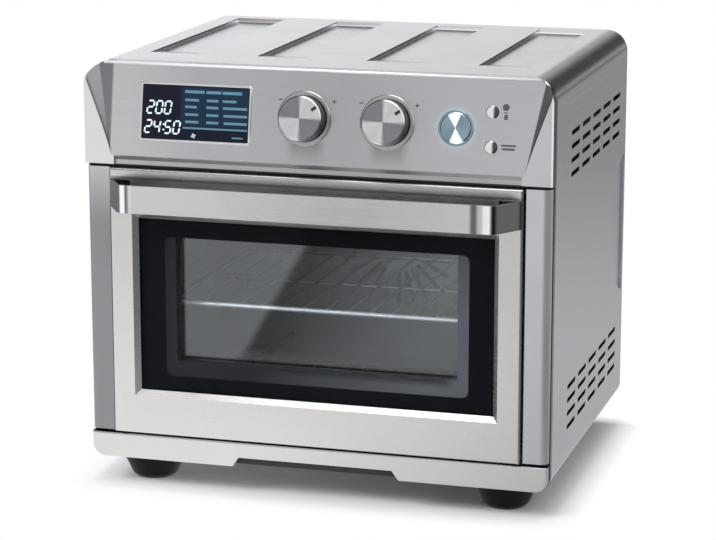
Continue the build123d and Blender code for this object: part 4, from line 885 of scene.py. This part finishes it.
def carrier_painted_light(tree, place, ground):
    """Painted light: paler at the right and along the bottom of the frame behind the glass."""
    x, _, z = axes(tree, place)
    right = ramp(tree, x, *CARRIER_RIGHT)
    low = patch(tree, (z, CARRIER_LOW), (x, CARRIER_LOW_X))
    paler = bpy.context.scene.oven_window.carrier_right
    return washed(tree, ground, paler, maths(tree, "MAXIMUM", right, low))


def half_painted_shade(centre):
    """Gives painted shade that darkens the right half of a small button."""

    def shades(tree, place, ground):
        to_right = ramp(tree, along(tree, place, centre, RIGHT), *BUTTON_DARK)
        return washed(tree, ground, (0.09, 0.09, 0.10), to_right)

    return shades


# Operators

class OVEN_OT_front_steel(bpy.types.Operator):
    """Brushed steel with painted light and shade on the panel, door, handle, drawer and front frame, a black
    strip as painted shadow and a pale bead as painted highlight
    """
    bl_idname = "oven.front_steel"
    bl_label = "Front Steel"

    def execute(self, context):
        metal = metals()
        dull = metal.front_roughness
        across, upright = (0.012, 1, 1), (1, 1, 0.012)
        dress(brushed("door_steel", metal.front, dull, across, door_painted_shade), "door_skin")
        dress(brushed("handle_steel", metal.handle, dull - 0.05, across, handle_painted_highlights), "handle")
        dress(brushed("drawer_steel", metal.front, dull, across, drawer_painted_shade), "drawer_front")
        dress(brushed("pillar_steel", metal.pillar, dull + 0.04, upright, pillar_painted_light), "front_frame")

        panel = brushed("panel_steel", metal.panel, dull + 0.02, across, panel_painted_light)
        tree = panel.node_tree
        # Painted light: the start light's glow on the panel steel round the button
        from_start = vectors(tree, "DISTANCE", place_of(tree), tuple(PANEL @ Vector((*START, 0))))
        painted_halo = maths(tree, "POWER", ramp(tree, from_start, *START_HALO), 1.6)
        ring = context.scene.oven_display.ring
        glowing(panel, blended(tree, painted_halo, (*BLACK, 1), (*ring, 1)), 0.16)
        dress(panel, "control_fascia")

        # Painted shadow: a black strip put in the seam under the panel, where there is only shade
        rubber = surface("gasket_black", (0.008, 0.008, 0.009), 0.0, 0.6, Scale=1200.0, Contrast=0.3)
        bm = soft_box(SEAM_SHADOW_MIDDLE, SEAM_SHADOW_SIZE, SEAM_SHADOW_BEVEL)
        strip = finished("panel_gasket", bm, "base", rubber, smooth=True)

        # Painted highlight: a pale bead along the panel's top edge stands in for the bright line of its
        # highlight
        highlight_bead = surface("rolled_edge", (0.93, 0.95, 1.0), 0.3, 0.4, bump=0.05, Scale=900.0, Contrast=0.06)
        sideways = Matrix.Translation(BEAD_MIDDLE) @ Matrix.Rotation(pi / 2, 4, "Y")
        bm = bmesh.new()
        disc(bm, (0, 0, 0), BEAD_RADIUS, BEAD_LENGTH, base=sideways, sides=16)
        edge = finished("panel_top_edge", bm, "base", highlight_bead, smooth=True)
        return {"FINISHED"}


class OVEN_OT_body_finish(bpy.types.Operator):
    """Silver coat on the wrap with painted light and shade on its roof, zinc on the hidden sheets, black
    mouldings
    """
    bl_idname = "oven.body_finish"
    bl_label = "Body and Back"

    def execute(self, context):
        finish(
            "silver_coat", metals().body, 0.85, 0.22, "outer_wrap",
            bump=0.12, marks=0.12, tint=roof_painted_light, Scale=700.0, Contrast=0.22,
        )
        finish(
            "zinc_sheet", (0.50, 0.52, 0.54), 0.9, 0.38,
            "rear_panel", "heat_shield", "motor_bracket", "fan_housing", "hinge_brackets", "tray_runners",
            pattern="Zinc Spangle", bump=0.05, Scale=150.0, Contrast=0.16,
        )
        finish(
            "bare_steel", (0.52, 0.52, 0.53), 1.0, 0.3,
            "body_screws", "handle_screws", "hinge_pins", "hinge_arm_left", "hinge_arm_right",
            "motor_shaft", "left_encoder_shaft", "right_encoder_shaft", "encoders",
            bump=0.05, Scale=900.0, Contrast=0.12,
        )
        finish(
            "foot_rubber", (0.0030, 0.0030, 0.0036), 0.0, 0.48,
            "foot_front_left", "foot_front_right", "foot_rear_left", "foot_rear_right",
            bump=0.25, marks=0.5, specular=0.1, Scale=1600.0, Contrast=0.4,
        )
        finish(
            "black_moulding", (0.018, 0.018, 0.020), 0.0, 0.42,
            "cable_gland", "terminal_block", "display_module", "control_board",
            bump=0.2, Scale=1500.0, Contrast=0.3,
        )
        # Painted shade: the base plate is black to stand in for the shade under the oven
        finish(
            "underside_black", (0.012, 0.012, 0.013), 0.2, 0.5, "base_plate",
            bump=0.2, Scale=1200.0, Contrast=0.3,
        )
        finish(
            "motor_case", (0.30, 0.30, 0.31), 0.9, 0.42, "fan_motor", bump=0.15, Scale=500.0, Contrast=0.2
        )
        finish(
            "board_resin", (0.02, 0.16, 0.07), 0.0, 0.35, "power_board", bump=0.05, Scale=900.0, Contrast=0.3
        )
        return {"FINISHED"}


class OVEN_OT_cavity_finish(bpy.types.Operator):
    """Steel, wire with painted shade, heaters, fan, lamp, ceramic and tray of the cavity"""
    bl_idname = "oven.cavity_finish"
    bl_label = "Cavity"

    def execute(self, context):
        finish(
            "cavity_steel", metals().inside, 0.85, 0.42,
            "cavity_liner", "rack_runners", "door_inner_frame", "fan_grille",
            bump=0.08, marks=0.6, Scale=600.0, Contrast=0.08,
        )
        finish(
            "nickel_wire", (0.90, 0.90, 0.90), 0.55, 0.3, "wire_rack",
            bump=0.02, swing=0.05, tint=rack_painted_shade, Scale=500.0, Contrast=0.05,
        )
        finish(
            "heater_sheath", (0.16, 0.155, 0.15), 0.8, 0.5, "upper_heater", "lower_heater",
            bump=0.2, marks=0.8, Scale=700.0, Contrast=0.5,
        )
        finish(
            "white_ceramic", (0.78, 0.76, 0.70), 0.0, 0.35, "heater_bushes", "lamp_socket", "thermal_cutout",
            bump=0.15, Scale=900.0, Contrast=0.08,
        )
        finish(
            "fan_sheet", (0.34, 0.345, 0.35), 1.0, 0.3, "convection_fan", "temperature_probe",
            bump=0.05, Scale=400.0, Contrast=0.1,
        )
        # The tray is near black, partly its own dark colour and partly painted shade where it shows through
        # the drawer's notch
        finish(
            "dark_tray", (0.020, 0.020, 0.020), 0.1, 0.38, "crumb_tray",
            bump=0.12, marks=0.8, Scale=1100.0, Contrast=0.35,
        )
        dress(clear("lamp_glass", (0.97, 0.96, 0.93), 1.45), "oven_lamp", "lamp_lens")
        return {"FINISHED"}


class OVEN_OT_window(bpy.types.Operator):
    """Door glass with its black printed border, the pane behind it and their carrier with painted light"""
    bl_idname = "oven.window"
    bl_label = "Window"

    def execute(self, context):
        sizes = context.scene.oven_window
        low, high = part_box("outer_glass")
        middle, size = (low + high) / 2, high - low
        size.y -= MASK_ROOM
        middle.y -= MASK_ROOM / 2
        pane = clear("door_glass", (0.93, 0.95, 0.97), 1.1)
        glass = finished("window_glass", soft_box(middle, size, GLASS_BEVEL), "door", pane)
        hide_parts("outer_glass")
        dress(clear("inner_door_glass", (0.93, 0.955, 0.975), 1.66), "inner_glass")

        ink = surface(
            "mask_print", sizes.mask, 0.0, 0.5, bump=0.0, marks=0.2, specular=0.05,
            Scale=500.0, Contrast=0.2,
        )
        back, corner = high.y - MASK_IN, sizes.clear_corner
        bm = bmesh.new()
        rounded_frame(bm, size.x / 2, low.z, high.z, back, corner)
        rounded_frame(bm, sizes.clear_half, sizes.clear_low, sizes.clear_high, back, corner)
        faces = bm.faces[:]
        loops = [edge for face in faces for edge in face.edges]
        bmesh.ops.delete(bm, geom=faces, context="FACES_ONLY")
        bmesh.ops.bridge_loops(bm, edges=loops)
        bmesh.ops.solidify(bm, geom=bm.faces[:], thickness=MASK_THICKNESS)
        mask = finished("window_mask", bm, "door", ink)

        finish(
            "carrier_black", (0.012, 0.013, 0.016), 0.0, 0.5, "glass_carrier",
            specular=0.1, tint=carrier_painted_light, Scale=900.0, Contrast=0.2,
        )
        return {"FINISHED"}


def draw_reading(bm, text, left, middle, height):
    """Adds a row of seven-segment digits that lean to the right."""
    width, stroke = height * DIGIT_WIDTH, height * DIGIT_STROKE
    for sign in text:
        if sign == ":":
            for up in (-COLON_RISE, COLON_RISE):
                spot = (DISPLAY_X + left - COLON_BACK, middle + up * height, SCREEN_RISE)
                bar(bm, spot, (stroke, stroke, PRINT))
            left += COLON_STEP
            continue
        for name in DIGITS[sign]:
            side, up, flat = SEGMENTS[name]
            size = (width - stroke, stroke, PRINT) if flat else (stroke, height / 2 - stroke, PRINT)
            x = DISPLAY_X + left + side * width + DIGIT_LEAN * up * height
            bar(bm, (x, middle + up * height, SCREEN_RISE), size, lean=DIGIT_LEAN)
        left += DIGIT_STEP


class OVEN_OT_display(bpy.types.Operator):
    """Dark screen in its bezel, with lit digits, bars and fan sign"""
    bl_idname = "oven.display"
    bl_label = "Display"

    def execute(self, context):
        look = context.scene.oven_display
        screen = surface(
            "display_screen", look.screen, 0.0, 0.12, bump=0.0, marks=0.15, swing=0.03, specular=0.12,
            Scale=500.0, Contrast=0.1,
        )
        tree = screen.node_tree
        place = place_of(tree)
        beside = off(tree, axes(tree, place)["X"], FIELD_MIDDLE[0])
        above = off(tree, along(tree, place, PANEL_CENTRE, UP), FIELD_MIDDLE[1])
        field = patch(tree, (beside, FIELD_SIDE), (above, FIELD_TOP))
        cloud = maths(tree, "ADD", noise(tree, place, 90.0, 2), 0.5)
        glowing(screen, blended(tree, times(tree, field, cloud), (*BLACK, 1), (*look.glow, 1)), 0.6)
        dress(screen, "display_lens")
        finish(
            "chrome_wire", (0.78, 0.78, 0.79), 1.0, 0.12, "display_bezel",
            bump=0.02, swing=0.05, Scale=500.0, Contrast=0.05,
        )

        bm = bmesh.new()
        draw_reading(bm, look.upper, *UPPER_READING, look.digit_height)
        draw_reading(bm, look.lower, *LOWER_READING, look.digit_height)
        digits = finished("display_digits", bm, "base", lit("lit_digits", look.digits, 1.0))

        bm = bmesh.new()
        for middle, high, *spans in BAR_ROWS:
            for left, right in spans:
                spot = (DISPLAY_X + (left + right) / 2000, middle / 1000, SCREEN_RISE)
                bar(bm, spot, ((right - left) / 1000, high / 1000, PRINT))
        bar(bm, *LAST_BAR)
        bars = finished("display_bars", bm, "base", lit("lit_bars", look.bars, 0.9, 0.6))

        bm = bmesh.new()
        for quarter in range(4):
            turn = Matrix.Rotation(quarter * pi / 2, 4, "Z")
            bar(bm, *FAN_BLADE, base=PANEL @ Matrix.Translation(FAN_SIGN) @ turn)
        sign = finished("display_fan_sign", bm, "base", lit("lit_sign", (0.45, 0.6, 0.7), 0.9))
        return {"FINISHED"}


class OVEN_OT_controls(bpy.types.Operator):
    """Turned dials with painted glints, start button with a glowing painted highlight, small buttons with
    painted shade, and printed marks
    """
    bl_idname = "oven.controls"
    bl_label = "Controls"

    def execute(self, context):
        pointer_black = surface(
            "pointer_black", (0.012, 0.012, 0.014), 0.0, 0.5, bump=0.0, Scale=900.0, Contrast=0.2
        )
        for name, x in KNOB_X.items():
            # Painted highlight and shade: light and dark sectors on each dial's face, and a painted dark
            # shade on its side
            turned = spun_metal(
                name + "_metal", (0.77, 0.77, 0.79), 0.24, PANEL @ Vector((x, 0, 0)), (0.235, 0.24, 0.265),
                side=(0.035, 0.035, 0.040), rim=0.0150,
            )
            dress(turned, name)
            top = PANEL @ Matrix.Translation((x, 0, KNOB_RISE)) @ Matrix.Rotation(POINTER_TURN, 4, "Z")
            bm = bmesh.new()
            bar(bm, POINTER_MIDDLE, POINTER_SIZE, base=top)
            pointer = finished(name + "_pointer", bm, KNOB_BODY[name], pointer_black)

        rings = {"bump": 0.04, "Scale": 700.0, "Contrast": 0.08}
        finish("ring_metal", (0.45, 0.45, 0.46), 1.0, 0.22, "knob_rings", **rings)
        finish("start_ring_metal", (0.25, 0.37, 0.41), 1.0, 0.25, "start_ring", **rings)
        start = PANEL @ Vector((*START, 0))
        # Painted highlight: a white bow of glint across the start button, with bluish painted shade beside
        # it; the bow also glows
        start_painted_glint = spun_metal(
            "start_metal", (0.93, 0.97, 1.0), 0.22, start, (0.27, 0.37, 0.43), sectors="Bow"
        )
        tree = start_painted_glint.node_tree
        glint = grain(tree, "Turned Glint", place_of(tree), Centre=start, Right=RIGHT, Up=UP)
        glow = blended(tree, glint.outputs["Bow"], (0.01, 0.03, 0.04, 1), (0.8, 0.95, 1, 1))
        glowing(start_painted_glint, glow, 0.35)
        dress(start_painted_glint, "start_button")

        for side, name in ((1, "upper_button"), (-1, "lower_button")):
            centre = PANEL @ Vector((BUTTON_X, START[1] + side * BUTTON_SPREAD, 0))
            finish(
                name + "_metal", (0.90, 0.90, 0.91), 1.0, 0.2, name,
                bump=0.05, tint=half_painted_shade(centre), Scale=900.0, Contrast=0.12,
            )

        ink = surface("panel_ink", (0.07, 0.07, 0.075), 0.0, 0.5, bump=0.0, Scale=900.0, Contrast=0.2)
        bm = bmesh.new()
        for minus, plus in DIAL_MARKS:
            for x in (minus, plus):
                bar(bm, (x, DIAL_MARK_Y, PRINT_RISE), DIAL_MARK_SIZE)
            for half in (-1, 1):
                bar(bm, (plus, DIAL_MARK_Y + half * PLUS_HALF_Y, PRINT_RISE), PLUS_HALF_SIZE)
        disc(bm, BUTTON_DOT, BUTTON_DOT_RADIUS, PRINT)
        for x, y, width, height in BUTTON_BARS:
            bar(bm, (x, y, PRINT_RISE), (width, height, PRINT))
        marks = finished("panel_marks", bm, "base", ink)
        return {"FINISHED"}


def paper(look):
    """White paper with the oven's shadow to the camera, and a graded card to metal and glass."""
    pale = surface(
        "floor_paper", look.floor, 0.0, 0.8, bump=0.0, marks=0.0, specular=0.0, Scale=60.0, Contrast=0.01
    )
    tree = pale.node_tree
    place = place_of(tree)
    x, y, _ = axes(tree, place)
    path = put(tree, "ShaderNodeLightPath").outputs

    beyond = [
        maths(tree, "MAXIMUM", maths(tree, "SUBTRACT", off(tree, spot), half), 0.0)
        for spot, half in zip((x, y), FOOTPRINT_HALF)
    ]
    distance = maths(tree, "ADD", *beyond)
    near = ramp(tree, x, -0.20, 0.12, look.glow_left, look.glow)
    unshaded = ramp(tree, distance, 0.0, 0.026, near, 1.0)
    seen = times(tree, path["Is Camera Ray"], times(tree, unshaded, ramp(tree, distance, -0.002, 0.006)))
    shaded = node_of(pale, "BSDF_PRINCIPLED").outputs[0]
    shown = mixed(tree, seen, shaded, white_light(tree, "ShaderNodeEmission", 1.0))

    across = along(tree, place, STREAK_START, STREAK_ACROSS)
    band = patch(tree, (across, (-0.005, 0.005)), (across, (0.20, 0.02)))
    streak = times(tree, band, ramp(tree, y, -0.48, -0.62))
    front = maths(tree, "SUBTRACT", 1.15, times(tree, streak, 0.85))
    ahead = times(tree, front, ramp(tree, x, -0.10, 0.40, 1.0, 0.30))
    rear = ramp(tree, y, 0.5, 1.6, 0.60, 0.35)
    mirrored = between(tree, ramp(tree, y, -0.1, 0.25), ahead, rear)
    card = white_light(tree, "ShaderNodeEmission", mirrored)
    bounced = maths(tree, "MAXIMUM", path["Is Glossy Ray"], path["Is Transmission Ray"])
    shown_with(pale, mixed(tree, bounced, shown, card))
    return pale


def white_room(look):
    """White to the camera and through glass, even light on the oven, graded walls in its metal."""
    world = bpy.data.worlds.new("white_room")
    world.use_nodes = True
    tree = world.node_tree
    tree.nodes.clear()
    path = put(tree, "ShaderNodeLightPath").outputs
    x, y, z = axes(tree, put(tree, "ShaderNodeTexCoord").outputs["Generated"])
    pale_wall = ramp(tree, z, 0.26, 0.42, 1.15, 0.15)
    corner = patch(tree, (x, (-0.05, 0.10)), (z, (-0.02, 0.06)))
    back_wall = between(tree, corner, pale_wall, 0.03)
    upper = maths(tree, "ADD", times(tree, ramp(tree, x, -0.5, 0.0), 0.95), 0.2)
    ahead = between(tree, ramp(tree, z, 0.12, 0.30), 0.85, upper)
    sky = between(tree, ramp(tree, y, -0.1, 0.1), ahead, back_wall)
    even, white, graded = (
        white_light(tree, "ShaderNodeBackground", strength) for strength in (look.world, 1.0, sky)
    )
    seen = maths(tree, "MAXIMUM", path["Is Camera Ray"], path["Is Transmission Ray"])
    room = mixed(tree, path["Is Glossy Ray"], mixed(tree, seen, even, white), graded)
    put(tree, "ShaderNodeOutputWorld", {"Surface": room})
    return world


class OVEN_OT_stage(bpy.types.Operator):
    """Pale floor, soft lights, white surroundings and the camera"""
    bl_idname = "oven.stage"
    bl_label = "Stage"

    def execute(self, context):
        scene = context.scene
        look = scene.oven_stage
        bm = bmesh.new()
        bmesh.ops.create_grid(bm, x_segments=1, y_segments=1, size=FLOOR_HALF)
        ground = added("studio_floor", meshed("studio_floor", bm, paper(look)))

        for name, (setting, place, size, glossy) in SOFTBOXES.items():
            lamp = bpy.data.lights.new(name, "AREA")
            lamp.shape = "RECTANGLE"
            lamp.size, lamp.size_y = size
            lamp.energy = getattr(look, setting)
            holder = added(name, lamp)
            holder.location = place
            holder.visible_glossy = glossy
            aim = LAMP_TARGET - Vector(place)
            holder.rotation_euler = aim.to_track_quat("-Z", "Y").to_euler()
        scene.world = white_room(look)

        eye = bpy.data.cameras.new("product_camera")
        eye.lens = CAMERA_LENS
        eye.sensor_width = 36
        eye.clip_end = 60
        camera = added("product_camera", eye)
        camera.location = CAMERA_PLACE
        camera.rotation_euler = CAMERA_TURN
        scene.camera = camera
        scene.view_settings.view_transform = "Standard"
        return {"FINISHED"}


class OVEN_PT_panel(bpy.types.Panel):
    """Lists the finishes of the oven"""
    bl_idname = "OVEN_PT_panel"
    bl_label = "Air Fryer Oven"
    bl_space_type = "VIEW_3D"
    bl_region_type = "UI"
    bl_category = "Oven"

    def draw(self, context):
        for kind in STEPS:
            self.layout.operator(kind.bl_idname)
        for group_name in SETTINGS:
            box = self.layout.box()
            owner = getattr(context.scene, group_name)
            for field in owner.bl_rna.properties.keys():
                if field not in ("rna_type", "name"):
                    box.prop(owner, field)


SETTINGS = {
    "oven_metal": OVEN_PG_metal,
    "oven_window": OVEN_PG_window,
    "oven_display": OVEN_PG_display,
    "oven_stage": OVEN_PG_stage,
}
STEPS = (
    OVEN_OT_front_steel,
    OVEN_OT_body_finish,
    OVEN_OT_cavity_finish,
    OVEN_OT_window,
    OVEN_OT_display,
    OVEN_OT_controls,
    OVEN_OT_stage,
)


def register():
    for kind in (*SETTINGS.values(), *STEPS, OVEN_PT_panel):
        bpy.utils.register_class(kind)
    for name, kind in SETTINGS.items():
        setattr(bpy.types.Scene, name, bpy.props.PointerProperty(type=kind))


def unregister():
    for name in SETTINGS:
        delattr(bpy.types.Scene, name)
    for kind in reversed((*SETTINGS.values(), *STEPS, OVEN_PT_panel)):
        bpy.utils.unregister_class(kind)


def main():
    register()
    for kind in STEPS:
        space, name = kind.bl_idname.split(".")
        getattr(getattr(bpy.ops, space), name)()


if __name__ == "__main__":
    main()
